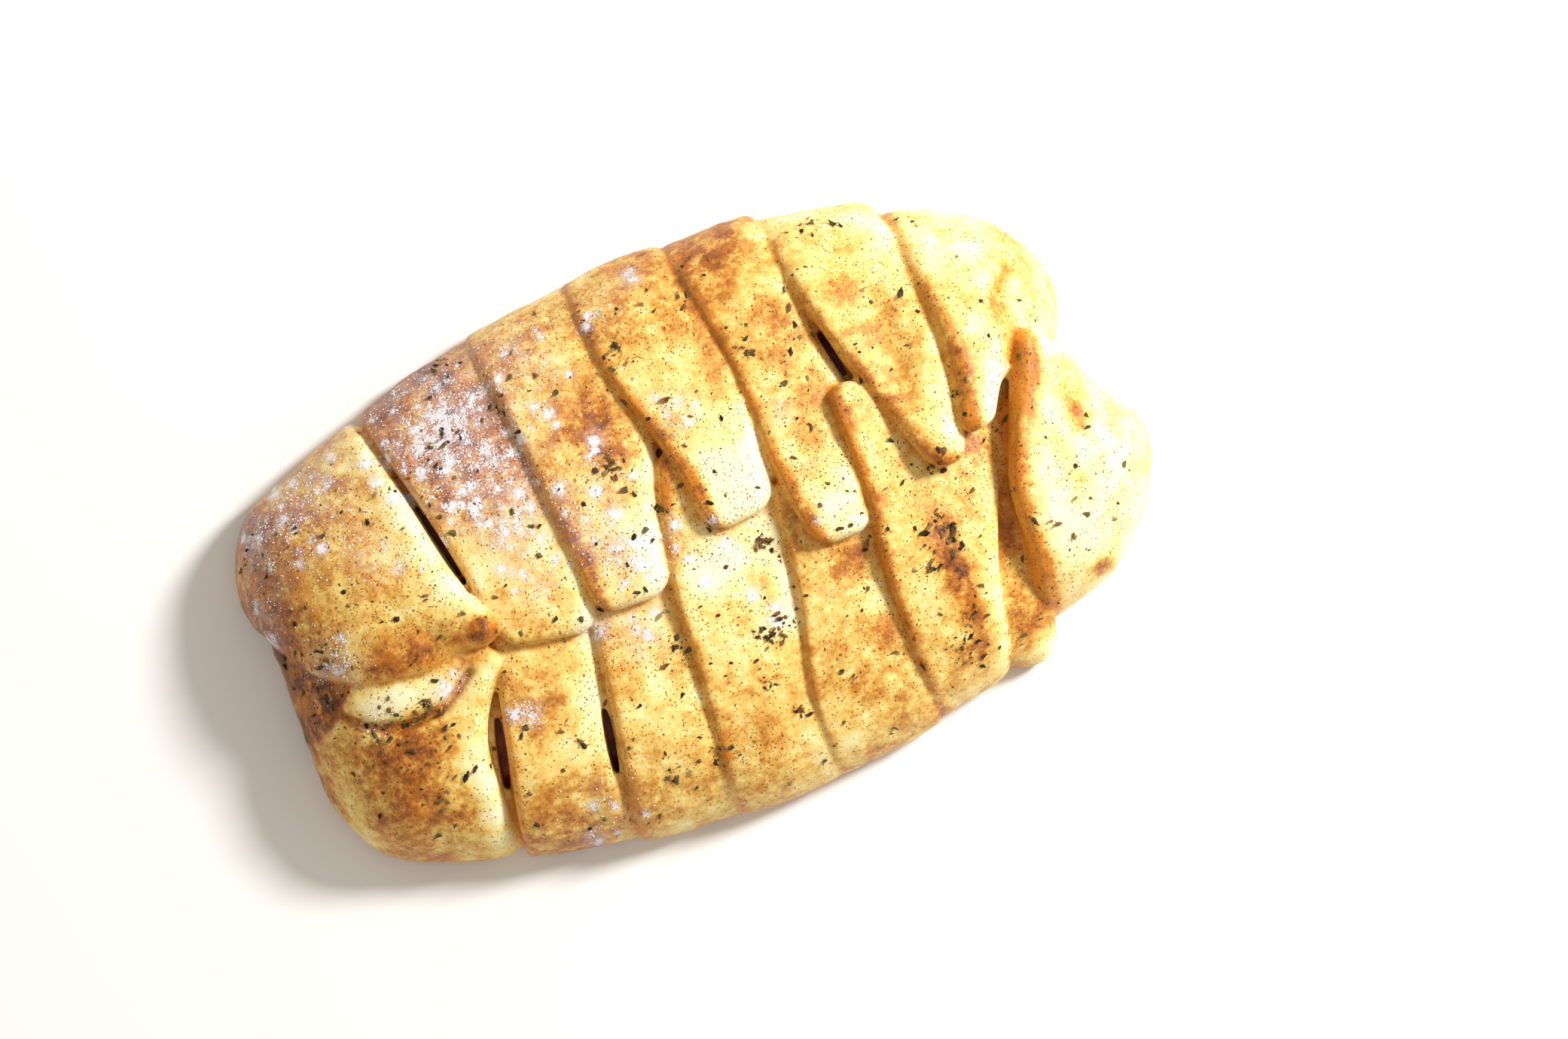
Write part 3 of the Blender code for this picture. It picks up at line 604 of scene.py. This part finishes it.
def nearest(points, among):
    """The nearest to each point among some others: its number, and how far away it lies."""
    tree = KDTree(len(among))
    for number, point in enumerate(among.tolist()):
        tree.insert(point, number)
    tree.balance()
    found = [tree.find(point) for point in points.tolist()]
    return np.array([hit[1] for hit in found]), np.array([hit[2] for hit in found])


# ---- mesh helpers

def new_collection(name):
    made = bpy.data.collections.new(name)
    bpy.context.scene.collection.children.link(made)
    return made


def add_object(name, bm, collection):
    mesh = bpy.data.meshes.new(name)
    bm.to_mesh(mesh)
    bm.free()
    obj = bpy.data.objects.new(name, mesh)
    collection.objects.link(obj)
    return obj


def skin(name, rings, collection):
    """A closed mesh object over a row of cross-sections."""
    count, around, _ = rings.shape
    index = np.arange(count * around).reshape(count, around)
    beside = np.roll(index, -1, axis=1)
    quads = np.stack([index[:-1], beside[:-1], beside[1:], index[1:]], axis=-1).reshape(-1, 4)
    faces = quads.tolist() + [index[0][::-1].tolist(), index[-1].tolist()]
    mesh = bpy.data.meshes.new(name)
    mesh.from_pydata(rings.reshape(-1, 3).tolist(), [], faces)
    bm = bmesh.new()
    bm.from_mesh(mesh)
    bmesh.ops.triangulate(bm, faces=bm.faces)
    bmesh.ops.recalc_face_normals(bm, faces=bm.faces)
    bpy.data.meshes.remove(mesh)
    return add_object(name, bm, collection)


def mound(name, collection):
    """The dough under the strips: a closed mound that follows the form, and flat at its base."""
    centre = np.stack([np.clip(RIM[:, 0], -SPINE * UNIT, SPINE * UNIT), 0 * RIM[:, 1]], axis=1)
    shares = np.linspace(0, CLOSING, MOUND_RINGS) ** RIM_CROWDING
    depths = CORE_DEPTH_LOW + (CORE_DEPTH - CORE_DEPTH_LOW) * np.clip(shares / DEPTH_REACH, 0, 1)
    rings = np.stack([lay(RIM + (centre - RIM) * share, -deep) for share, deep in zip(shares, depths)])
    foot = rings[:1].copy()
    foot[..., 2] = -BURIED
    rings[..., 2] = np.maximum(rings[..., 2], LEDGE - BURIED)
    return skin(name, np.concatenate([foot, rings]), collection)


def blade(name, start, end, width, collection):
    """The lens-shaped cut of a slit."""
    start, end = (Vector((*place, 0)) * UNIT for place in (start, end))
    run = end - start
    middle = (start + end) / 2 + Vector((0, 0, (SLIT_FLOOR + SLIT_TOP) / 2))
    place = Matrix.Translation(middle) @ Matrix.Rotation(math.atan2(run.y, run.x), 4, "Z")
    size = Matrix.Diagonal((run.length / 2, width * UNIT / 2, SLIT_TOP - SLIT_FLOOR, 1.0))
    bm = bmesh.new()
    bmesh.ops.create_cone(bm, cap_ends=True, segments=SLIT_SIDES, radius1=1, radius2=1, depth=1,
                          matrix=place @ size)
    return add_object(name, bm, collection)


def apply_modifiers(obj):
    graph = bpy.context.evaluated_depsgraph_get()
    mesh = bpy.data.meshes.new_from_object(obj.evaluated_get(graph))
    obj.modifiers.clear()
    obj.data = mesh


def join_by_boolean(obj, operation, operands):
    """Joins or cuts obj by a whole collection, and removes the collection's objects."""
    modifier = obj.modifiers.new(operation.lower(), "BOOLEAN")
    modifier.operation = operation
    modifier.operand_type = "COLLECTION"
    modifier.collection = operands
    modifier.solver = "MANIFOLD"
    apply_modifiers(obj)
    for operand in list(operands.objects):
        bpy.data.objects.remove(operand, do_unlink=True)
    bpy.data.collections.remove(operands)


def keep_largest_shell(obj):
    """Drops sealed hollows and loose scraps: only the largest shell stays."""
    bm = bmesh.new()
    bm.from_mesh(obj.data)
    bmesh.ops.remove_doubles(bm, verts=bm.verts, dist=1e-6)
    bmesh.ops.dissolve_degenerate(bm, edges=bm.edges, dist=1e-6)
    waiting, shells = set(bm.verts), []
    while waiting:
        reached, shell = [waiting.pop()], []
        while reached:
            vert = reached.pop()
            shell.append(vert)
            linked = {edge.other_vert(vert) for edge in vert.link_edges} & waiting
            waiting -= linked
            reached.extend(linked)
        shells.append(shell)
    shells.sort(key=len)
    for shell in shells[:-1]:
        bmesh.ops.delete(bm, geom=shell, context="VERTS")
    bm.to_mesh(obj.data)
    bm.free()


# ---- the crust

def make_crust():
    """The dough at full detail, and for each of its points the nearest strip and its place on it."""
    pieces = new_collection("pieces")
    crust = mound("crust", bpy.context.scene.collection)
    surfaces, places = [], []
    for number, (name, shape) in enumerate(STRIPS.items()):
        rings, place = strip_surface(name, **shape)
        skin(name, rings, pieces)
        surfaces.append(rings.reshape(-1, 3))
        numbers = np.full((len(surfaces[-1]), 1), number)
        places.append(np.concatenate([place.reshape(-1, 5), numbers], axis=1))
    surfaces, places = np.concatenate(surfaces), np.concatenate(places)
    join_by_boolean(crust, "UNION", pieces)

    cuts = new_collection("cuts")
    for k, (start, end, width) in enumerate(SLITS):
        blade(f"slit_{k}", start, end, width, cuts)
    bm = bmesh.new()
    size = Matrix.Diagonal((CUT_WIDTH, CUT_WIDTH, CUT_DEPTH, 1))
    floor_cut = Matrix.Translation((0, 0, -CUT_DEPTH / 2)) @ size
    bmesh.ops.create_cube(bm, size=1.0, matrix=floor_cut)
    add_object("floor_cut", bm, cuts)
    join_by_boolean(crust, "DIFFERENCE", cuts)
    soften(crust)
    keep_largest_shell(crust)

    points = read_points(crust, "co")
    numbers, gaps = nearest(points, surfaces)
    return crust, points, places[numbers], gaps


def soften(obj):
    """Cuts the mesh into even cells and rounds the lines where the strips meet, as dough does."""
    remesh = obj.modifiers.new("cells", "REMESH")
    remesh.mode = "VOXEL"
    remesh.voxel_size = VOXEL
    smooth = obj.modifiers.new("smooth", "SMOOTH")
    smooth.factor = 0.5
    smooth.iterations = 1
    apply_modifiers(obj)


def read_points(obj, key):
    """The places or the normals of the object's points."""
    values = np.zeros(len(obj.data.vertices) * 3)
    obj.data.vertices.foreach_get(key, values)
    return values.reshape(-1, 3)


def store(obj, name, values):
    """Keeps a value from 0 to 1 for each point, for the materials to read."""
    attribute = obj.data.attributes.new(name, "FLOAT", "POINT")
    attribute.data.foreach_set("value", np.clip(values, 0, 1).astype(np.float32))


def blur(obj, values, times):
    """Each point's value, evened out with its neighbours' some times over."""
    ends = np.zeros(len(obj.data.edges) * 2, int)
    obj.data.edges.foreach_get("vertices", ends)
    first, second = ends.reshape(-1, 2).T
    count = len(values)
    share = 1 + np.bincount(first, minlength=count) + np.bincount(second, minlength=count)
    for _ in range(times):
        total = values + np.bincount(first, values[second], count)
        total += np.bincount(second, values[first], count)
        values = total / share
    return values


def strip_toast(places, levels):
    """Browning by place on a strip: from tip to foot, on its wall and in the valley beside it."""
    from_left, from_right, from_tip, _, u, _ = places.T
    tip, foot, wall, wall_top = levels.T
    along = step(0.0, FOOT_BROWNED, u)
    on_wall = 1 - step(*WALL_FADE, from_left)
    in_valley = 1 - step(*VALLEY_FADE, from_right)
    middle, spread = WALL_TOP
    on_top = np.exp(-(((from_left - middle) / spread) ** 2)) * (1 - step(*WALL_TOP_FADE, from_tip))
    toast = tip * (1 - along) + foot * along + wall * on_wall + wall_top * on_top
    return toast + VALLEY_CHANGE * in_valley * (1 - VALLEY_FOOT_SHARE * along)


def patch_toast(plan, number):
    """Browning by place in plan: the patches of each strip, some of them painted shade, and the creases."""
    names = list(STRIPS)
    toast = np.zeros(len(plan))
    for name, patches in PATCHES.items():
        for middle, reach, change in patches:
            toast += np.where(number == names.index(name), change * hump(plan, middle, reach), 0)
    for path, depth in CREASES.values():
        toast += CREASE_CHANGE * depth * groove(plan, path, CREASE_STAIN)
    return toast


def mottled_toast(points, places, foot_level):
    """Uneven browning: clouds, streaks along the strips, and blotches where a strip is browner."""
    from_left, _, from_tip, _, _, number = places.T
    toast = sum(clouds(points, row) for row in CLOUDS)
    change, size, seed = STREAKS
    stretched = np.stack([from_left * 5, from_tip * 0.5, 0.1 * number], axis=1)
    toast += change * noise(stretched, size, seed)
    blotches = sum(change * step(low, high, rough(points, size, seed))
                   for change, (low, high), size, seed in BLOTCHES)
    return toast + blotches * np.clip(1.5 * foot_level, 0.2, 1)


def spice_cover(points, places, toast, wall_level):
    """How thickly spice lies: more on brown dough and on walls."""
    strip, middle, reach, more = SPICE_PATCH
    spice = SPICE_LEVEL + SPICE_BY_TOAST * (toast - SPICE_TOAST) + clouds(points, SPICE_CLOUDS)
    on_strip = places[:, 5] == list(STRIPS).index(strip)
    spice += np.where(on_strip, more * hump(points[:, :2], middle, reach), 0)
    return spice + SPICE_BY_WALL * wall_level * (1 - step(*WALL_FADE, places[:, 0]))


def flour_cover(points, places, heaps):
    """How thickly flour lies: at the floured places, where it can rest, and round the small heaps."""
    plan, height, level = points[:, :2], points[:, 2], places[:, 3]
    flour = sum(cover * hump(plan, middle, (radius, radius)) for middle, radius, cover in FLOURED)
    flour = np.clip(flour, 0, FLOUR_MOST) * (0.75 + clouds(points, FLOUR_CLOUDS))
    flour = flour * step(*FLOUR_HEIGHTS, height) * step(*FLOUR_LEVELS, level)
    flour = np.maximum(flour, heap_cover(points, heaps)) * (0.9 + clouds(points, FLOUR_CLUMPS, 2))
    return flour * np.where(places[:, 5] == list(STRIPS).index("end"), FLOUR_ON_END, 1)


def hollows(crust, points):
    """How far each point lies below its near and its wider surroundings, in metres."""
    normals = read_points(crust, "normal")
    near = np.stack([blur(crust, points[:, axis], NEAR_BLURS) for axis in range(3)], axis=1)
    wide = np.stack([blur(crust, near[:, axis], WIDE_BLURS) for axis in range(3)], axis=1)
    return ((near - points) * normals).sum(axis=1), ((wide - points) * normals).sum(axis=1)


def paint_crust(crust, points, places, gaps, heaps):
    """Stores how toasted, spiced, floured and sunken each point of the crust is; the toasting holds painted
    shade on valley floors and in hollows, and 'deep' a painted darker gold in hollows and on the left walls.
    """
    number = places[:, 5].astype(int)
    levels = np.array([TOASTED[name] for name in STRIPS])[number]
    toast = strip_toast(places, levels) + patch_toast(points[:, :2], number)
    toast += mottled_toast(points, places, levels[:, 1])
    # Painted shade: browner dough where the crust lies off the strips, on the valley floors; darker towards
    # the base as well
    toast += SEAM_SHADE_CHANGE * step(*SEAM_GAP, gaps) + BASE_CHANGE * (1 - step(*BASE_FADE, points[:, 2]))
    spice = spice_cover(points, places, toast, levels[:, 2])
    near, wide = hollows(crust, points)
    side = 1 - step(*SIDE_FADE, places[:, 0])
    # painted shade: a darker gold in hollows and on the left walls, kept as 'deep'
    deep = NEAR_SHADE_SHARE * step(*NEAR_HOLLOW, near) + WIDE_SHADE_SHARE * step(*WIDE_HOLLOW, wide)
    deep = blur(crust, np.maximum(deep, SIDE_SHADE_SHARE * side), 3)
    # painted shade: browner dough in the narrow hollows
    toast = blur(crust, toast, 4) + CREASE_SHADE_CHANGE * step(*NEAR_HOLLOW, near)
    store(crust, "toast", toast)
    store(crust, "spice", blur(crust, spice, 5))
    store(crust, "flour", flour_cover(points, places, heaps))
    store(crust, "deep", deep)


# ---- what is strewn on it

def lens(sides):
    """Points and faces of a small body over a ring of so many points, one unit in radius."""
    turn = np.arange(sides) * math.tau / sides
    ring = np.stack([np.cos(turn), np.sin(turn), 0 * turn], axis=1)
    faces = [(k, (k + 1) % sides, sides) for k in range(sides)]
    faces += [((k + 1) % sides, k, sides + 1) for k in range(sides)]
    return np.concatenate([ring, [[0, 0, 1], [0, 0, -1]]]), faces


def strew(name, tree, places, sides, form, draw):
    """One mesh of many small bodies lying on the crust, each bent, turned and coloured by chance."""
    (smallest, largest), shape, curl, lift = form
    down = Vector((0, 0, -1))
    hits = [tree.ray_cast(Vector((x * UNIT, y * UNIT, DROP_HEIGHT)), down) for x, y in places]
    hits = [hit for hit in hits if hit[0] is not None and hit[1].z > STEEPEST]
    spots = np.array([hit[0] for hit in hits])
    normals = np.array([hit[1] for hit in hits])
    count = len(hits)
    points, faces = lens(sides)
    jitter = draw.uniform(*UNEVEN, (count, len(points), 3))
    sizes = smallest * (largest / smallest) ** draw.random(count)
    bodies = points * jitter * (np.array(shape) * sizes[:, None])[:, None, :]
    bodies[..., 2] += curl * bodies[..., 0] ** 2 / sizes[:, None]
    draw.random(count)  # not used: it keeps the draws after it as they are
    side = np.cross(normals, draw.normal(size=(count, 3)))
    side /= np.linalg.norm(side, axis=1)[:, None]
    other = np.cross(normals, side)
    tilt = draw.normal(0, TILT, (count, 1))
    upward = normals + tilt * side
    upward /= np.linalg.norm(upward, axis=1)[:, None]
    side = np.cross(other, upward)
    axes = np.stack([side, other, upward], axis=1)
    bodies = bodies @ axes + (spots + normals * (lift * sizes)[:, None])[:, None, :]
    every = (np.array(faces)[None] + (np.arange(count) * len(points))[:, None, None]).reshape(-1, 3)
    mesh = bpy.data.meshes.new(name)
    mesh.from_pydata(bodies.reshape(-1, 3).tolist(), [], every.tolist())
    obj = bpy.data.objects.new(name, mesh)
    bpy.context.scene.collection.objects.link(obj)
    store(obj, "shade", np.repeat(draw.random(count), len(points)))
    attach(obj, "root")
    return obj


def spread_places(draw, count):
    """Places in plan all over the loaf, but not on its rim."""
    reach = np.array(PLAN_REACH)
    places = draw.uniform(-reach, reach, (count, 2))
    distance, _ = rim_distance(places * UNIT)
    return places[distance > RIM_MARGIN]


def drift(draw, places, size, seed):
    """Drops most of the places between the drifts of a smooth noise."""
    spots = np.concatenate([places, np.zeros((len(places), 1))], axis=1)
    return places[draw.random(len(places)) < step(-0.2, 0.7, rough(spots, size, seed, 2))]


def clump_places(draw):
    """Places in plan gathered in the herbs' clumps."""
    return np.concatenate([draw.normal(middle, spread, (count, 2)) for middle, spread, count in HERB_CLUMPS])


def heap_cover(points, heaps):
    """How thickly flour lies round the small heaps: rows of X, Y and radius."""
    flat = np.array([1, 1, 0])
    numbers, away = nearest(points * flat, heaps * flat)
    return np.exp(-((away / (HEAP_REACH * heaps[numbers, 2])) ** 2))


def flour_places(draw, count):
    """Places in plan drawn to where flour lies."""
    shares = np.array([cover * radius**1.5 for _, radius, cover in FLOURED])
    chosen = draw.choice(len(FLOURED), count, p=shares / shares.sum())
    middles = np.array([FLOURED[k][0] for k in chosen], float)
    radii = np.array([FLOURED[k][1] for k in chosen])
    return middles + draw.normal(0, FLOUR_SPREAD, (count, 2)) * radii[:, None]


def add_toppings(crust, heaps, draw):
    """The herbs, the spice and the flour that lie on the crust."""
    tree = BVHTree.FromObject(crust, bpy.context.evaluated_depsgraph_get())
    herb = strewn_material("herb", HERB, 0.8)
    spice = strewn_material("spice", SPICE, 0.6)
    flour = strewn_material("flour", FLOUR, 0.95)

    places = np.concatenate([spread_places(draw, HERB_FLAKES), clump_places(draw)])
    flakes = strew("herb_flakes", tree, places, FLAKE_SIDES, HERB_FORM, draw)
    places = drift(draw, spread_places(draw, HERB_DUST), *DUST_DRIFTS)
    dust = strew("herb_dust", tree, places, GRAIN_SIDES, DUST_FORM, draw)
    places = drift(draw, spread_places(draw, SPICE_GRAINS), *SPICE_DRIFTS)
    grains = strew("spice_grains", tree, places, GRAIN_SIDES, SPICE_FORM, draw)
    around = [draw.normal((x, y), radius, (HEAP_GRAINS, 2)) for x, y, radius in heaps / UNIT]
    places = np.concatenate([flour_places(draw, FLOUR_GRAINS), *around])
    lumps = strew("flour", tree, places, GRAIN_SIDES, FLOUR_FORM, draw)
    for piece, material in ((flakes, herb), (dust, herb), (grains, spice), (lumps, flour)):
        piece.data.materials.append(material)


# ---- materials

def srgb(colour):
    """A linear colour from its everyday 0 to 255 values."""
    linear = (((c / 255 + 0.055) / 1.055) ** 2.4 if c > 10 else c / 255 / 12.92 for c in colour)
    return (*linear, 1.0)


class Nodes:
    """Short ways to add and link shader nodes."""

    def __init__(self, name):
        self.material = bpy.data.materials.new(name)
        self.material.use_nodes = True
        self.tree = self.material.node_tree
        self.shader = self.tree.nodes["Principled BSDF"]
        self.place = self.add("ShaderNodeTexCoord").outputs["Object"]

    def add(self, kind, inputs=(), **settings):
        node = self.tree.nodes.new(kind)
        for key, value in settings.items():
            setattr(node, key, value)
        for key, value in dict(inputs).items():
            self.put(value, node.inputs[key])
        return node

    def put(self, value, socket):
        if isinstance(value, bpy.types.NodeSocket):
            self.tree.links.new(value, socket)
        else:
            socket.default_value = value

    def finish(self, looks):
        """Sets the shader's inputs by name, and gives the material."""
        for name, value in looks.items():
            self.put(value, self.shader.inputs[name])
        return self.material

    def math(self, operation, a, b, clamp=False):
        return self.add("ShaderNodeMath", {0: a, 1: b}, operation=operation, use_clamp=clamp).outputs[0]

    def times(self, a, b):
        return self.math("MULTIPLY", a, b)

    def plus(self, a, b, clamp=False):
        return self.math("ADD", a, b, clamp)

    def minus(self, a, b):
        return self.math("SUBTRACT", a, b)

    def mix(self, share, a, b):
        """Colour a, and as much of the 0 to 255 colour or the socket b as the share says."""
        b = srgb(b) if isinstance(b, tuple) else b
        return self.add("ShaderNodeMix", {0: share, 6: a, 7: b}, data_type="RGBA").outputs[2]

    def ramp(self, value, stops):
        """A colour for a value, from rows of value and 0 to 255 colour."""
        node = self.add("ShaderNodeValToRGB", {0: value})
        elements = node.color_ramp.elements
        while len(elements) < len(stops):
            elements.new(0.5)
        for element, (position, colour) in zip(elements, stops):
            element.position = position
            element.color = srgb(colour)
        return node.outputs[0]

    def attribute(self, name):
        return self.add("ShaderNodeAttribute", attribute_name=name).outputs["Fac"]

    def cloud(self, scale, detail, roughness=0.5):
        """Noise with so many lumps to the metre."""
        looks = {"Vector": self.place, "Scale": scale, "Detail": detail, "Roughness": roughness}
        return self.add("ShaderNodeTexNoise", looks).outputs["Fac"]

    def soft_step(self, value, low, high):
        looks = {"Value": value, "From Min": low, "From Max": high}
        return self.add("ShaderNodeMapRange", looks, interpolation_type="SMOOTHSTEP").outputs[0]

    def bump(self, height, strength, distance):
        looks = {"Height": height, "Strength": strength, "Distance": distance}
        return self.add("ShaderNodeBump", looks).outputs[0]


def browned(nodes, toast, fine, middling, coarse):
    """The dough's colour by how toasted it is, mottled by three clouds, more so where it is browner."""
    mottle = nodes.plus(nodes.times(nodes.minus(fine, 0.5), 0.75), nodes.minus(middling, 0.5))
    mottle = nodes.plus(mottle, nodes.times(nodes.minus(coarse, 0.5), 1.2))
    contrast = nodes.plus(nodes.times(toast, 1.2), 0.14, clamp=True)
    return nodes.ramp(nodes.plus(toast, nodes.times(mottle, contrast)), DOUGH)


def oiled(nodes, colour, spice):
    """Golden stains of oil, more of them where there is more spice."""
    soaked = nodes.plus(nodes.cloud(120.0, 3.0, 0.55), nodes.times(spice, 0.45))
    stain = nodes.times(nodes.soft_step(soaked, 0.76, 1.10), OIL_STRENGTH)
    return nodes.mix(stain, colour, OIL)


def speckled(nodes, colour, spice, scale, size, share, shift):
    """Round spots of spice in some cells of a cell pattern."""
    moved = nodes.add("ShaderNodeVectorMath", {0: nodes.place, 1: (shift,) * 3}, operation="ADD")
    cells = nodes.add("ShaderNodeTexVoronoi", {"Vector": moved.outputs[0], "Scale": scale})
    chances = nodes.add("ShaderNodeSeparateColor", {0: cells.outputs["Color"]}).outputs
    spot = nodes.soft_step(cells.outputs["Distance"], size, size * 0.6)
    chosen = nodes.math("LESS_THAN", chances[0], nodes.times(spice, share))
    shown = nodes.times(nodes.times(spot, chosen), SPECK_STRENGTH)
    return nodes.mix(shown, colour, nodes.ramp(chances[1], SPECKS))


def dusted_spots(nodes, flour, middling):
    """1 where a grain of the flour's dusting lies, with more grains where there is more flour."""
    powder = nodes.plus(nodes.times(nodes.cloud(1900.0, 2.0, 0.55), 0.6), nodes.times(middling, 0.4))
    low = nodes.minus(0.72, nodes.times(flour, 0.36))
    return nodes.soft_step(powder, low, nodes.plus(low, 0.10))


def crust_material():
    nodes = Nodes("crust")
    toast, spice, flour, deep = (nodes.attribute(name) for name in ("toast", "spice", "flour", "deep"))
    fine = nodes.cloud(1000.0, 4.0, 0.7)
    middling = nodes.cloud(430.0, 3.0, 0.6)
    coarse = nodes.cloud(170.0, 3.0, 0.55)
    colour = oiled(nodes, browned(nodes, toast, fine, middling, coarse), spice)
    # painted shade: a warm darker gold where 'deep' says a point lies in a hollow or on a left wall
    colour = nodes.mix(nodes.times(deep, SHADE_GOLD_STRENGTH), colour, SHADE_GOLD)
    colour = nodes.mix(nodes.times(flour, FILM_STRENGTH), colour, FILM)
    for layer in SPECK_LAYERS:
        colour = speckled(nodes, colour, spice, *layer)
    dusted = dusted_spots(nodes, flour, middling)
    colour = nodes.mix(nodes.times(dusted, POWDER_STRENGTH), colour, POWDER)
    grain = nodes.plus(nodes.times(fine, 0.7), nodes.times(coarse, 0.8))
    return nodes.finish({
        "Base Color": colour,
        "Roughness": nodes.plus(nodes.times(dusted, 0.45), 0.43),
        "Normal": nodes.bump(grain, 0.5, 0.0006),
        "Specular IOR Level": 0.35,
        "Subsurface Weight": 0.25,
        "Subsurface Radius": (1.0, 0.5, 0.15),
        "Subsurface Scale": 0.003,
    })


def strewn_material(name, stops, roughness):
    """A material whose colour changes from one small body to the next, and a little over each."""
    nodes = Nodes(name)
    shift = nodes.times(nodes.minus(nodes.cloud(2200.0, 2.0), 0.5), 0.5)
    shade = nodes.plus(nodes.attribute("shade"), shift, clamp=True)
    return nodes.finish({
        "Base Color": nodes.ramp(shade, stops), "Roughness": roughness, "Specular IOR Level": 0.1,
    })


def filling_material():
    nodes = Nodes("filling")
    cloud = nodes.cloud(160.0, 4.0)
    return nodes.finish({
        "Base Color": nodes.ramp(cloud, FILLING),
        "Roughness": 0.35,
        "Normal": nodes.bump(cloud, 0.6, 0.002),
    })


# ---- stage

def make_floor():
    bm = bmesh.new()
    bmesh.ops.create_grid(bm, x_segments=1, y_segments=1, size=FLOOR_SIZE)
    floor = add_object("floor", bm, bpy.context.scene.collection)
    floor.location.z = FLOOR_HEIGHT
    floor.data.materials.append(Nodes("floor").finish({"Base Color": FLOOR_COLOUR, "Roughness": 0.9}))


def make_light():
    """Even light from all round, and a soft lamp aimed at the loaf."""
    world = bpy.data.worlds.new("studio")
    bpy.context.scene.world = world
    world.use_nodes = True
    background = world.node_tree.nodes["Background"]
    background.inputs["Color"].default_value = WORLD_COLOUR
    background.inputs["Strength"].default_value = WORLD_STRENGTH
    data = bpy.data.lights.new("key", "AREA")
    data.shape = "DISK"
    data.size = KEY_SIZE
    data.energy = KEY_POWER
    data.color = KEY_COLOUR
    light = bpy.data.objects.new("key", data)
    bpy.context.scene.collection.objects.link(light)
    a, e = math.radians(KEY_AZIMUTH), math.radians(KEY_ELEVATION)
    direction = Vector((math.cos(a) * math.cos(e), math.sin(a) * math.cos(e), math.sin(e)))
    light.location = direction * KEY_DISTANCE
    light.rotation_mode = "QUATERNION"
    light.rotation_quaternion = direction.to_track_quat("Z", "Y")


def make_camera():
    data = bpy.data.cameras.new("camera")
    data.sensor_width = SENSOR
    data.lens = SENSOR * VIEW_HEIGHT / VIEW_WIDTH
    data.clip_start = CLIP_START
    camera = bpy.data.objects.new("camera", data)
    bpy.context.scene.collection.objects.link(camera)
    camera.location = (*VIEW_AT, VIEW_PLANE + VIEW_HEIGHT)
    camera.rotation_euler = (0, 0, math.radians(VIEW_TURN))
    bpy.context.scene.camera = camera


def set_view():
    settings = bpy.context.scene.view_settings
    settings.view_transform = "Standard"
    settings.look = "None"
    settings.exposure = 0.0


def floury_heaps(draw):
    """Small heaps of flour: rows of X, Y and radius."""
    smallest, largest = HEAP_RADII
    radii = UNIT * smallest * (largest / smallest) ** draw.random((FLOUR_HEAPS, 1))
    return np.concatenate([flour_places(draw, FLOUR_HEAPS) * UNIT, radii], axis=1)


def main():
    make_camera()
    make_floor()
    make_light()
    set_view()
    crust, points, places, gaps = make_crust()
    draw = np.random.default_rng(SEED)
    heaps = floury_heaps(draw)
    paint_crust(crust, points, places, gaps, heaps)
    crust.data.materials.clear()
    crust.data.materials.append(crust_material())
    crust.data.shade_smooth()
    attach(crust, "root")
    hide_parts("loaf")
    add_toppings(crust, heaps, draw)
    frame["nodes"]["filling"].data.materials[0] = filling_material()


main()
bpy.context.view_layer.update()
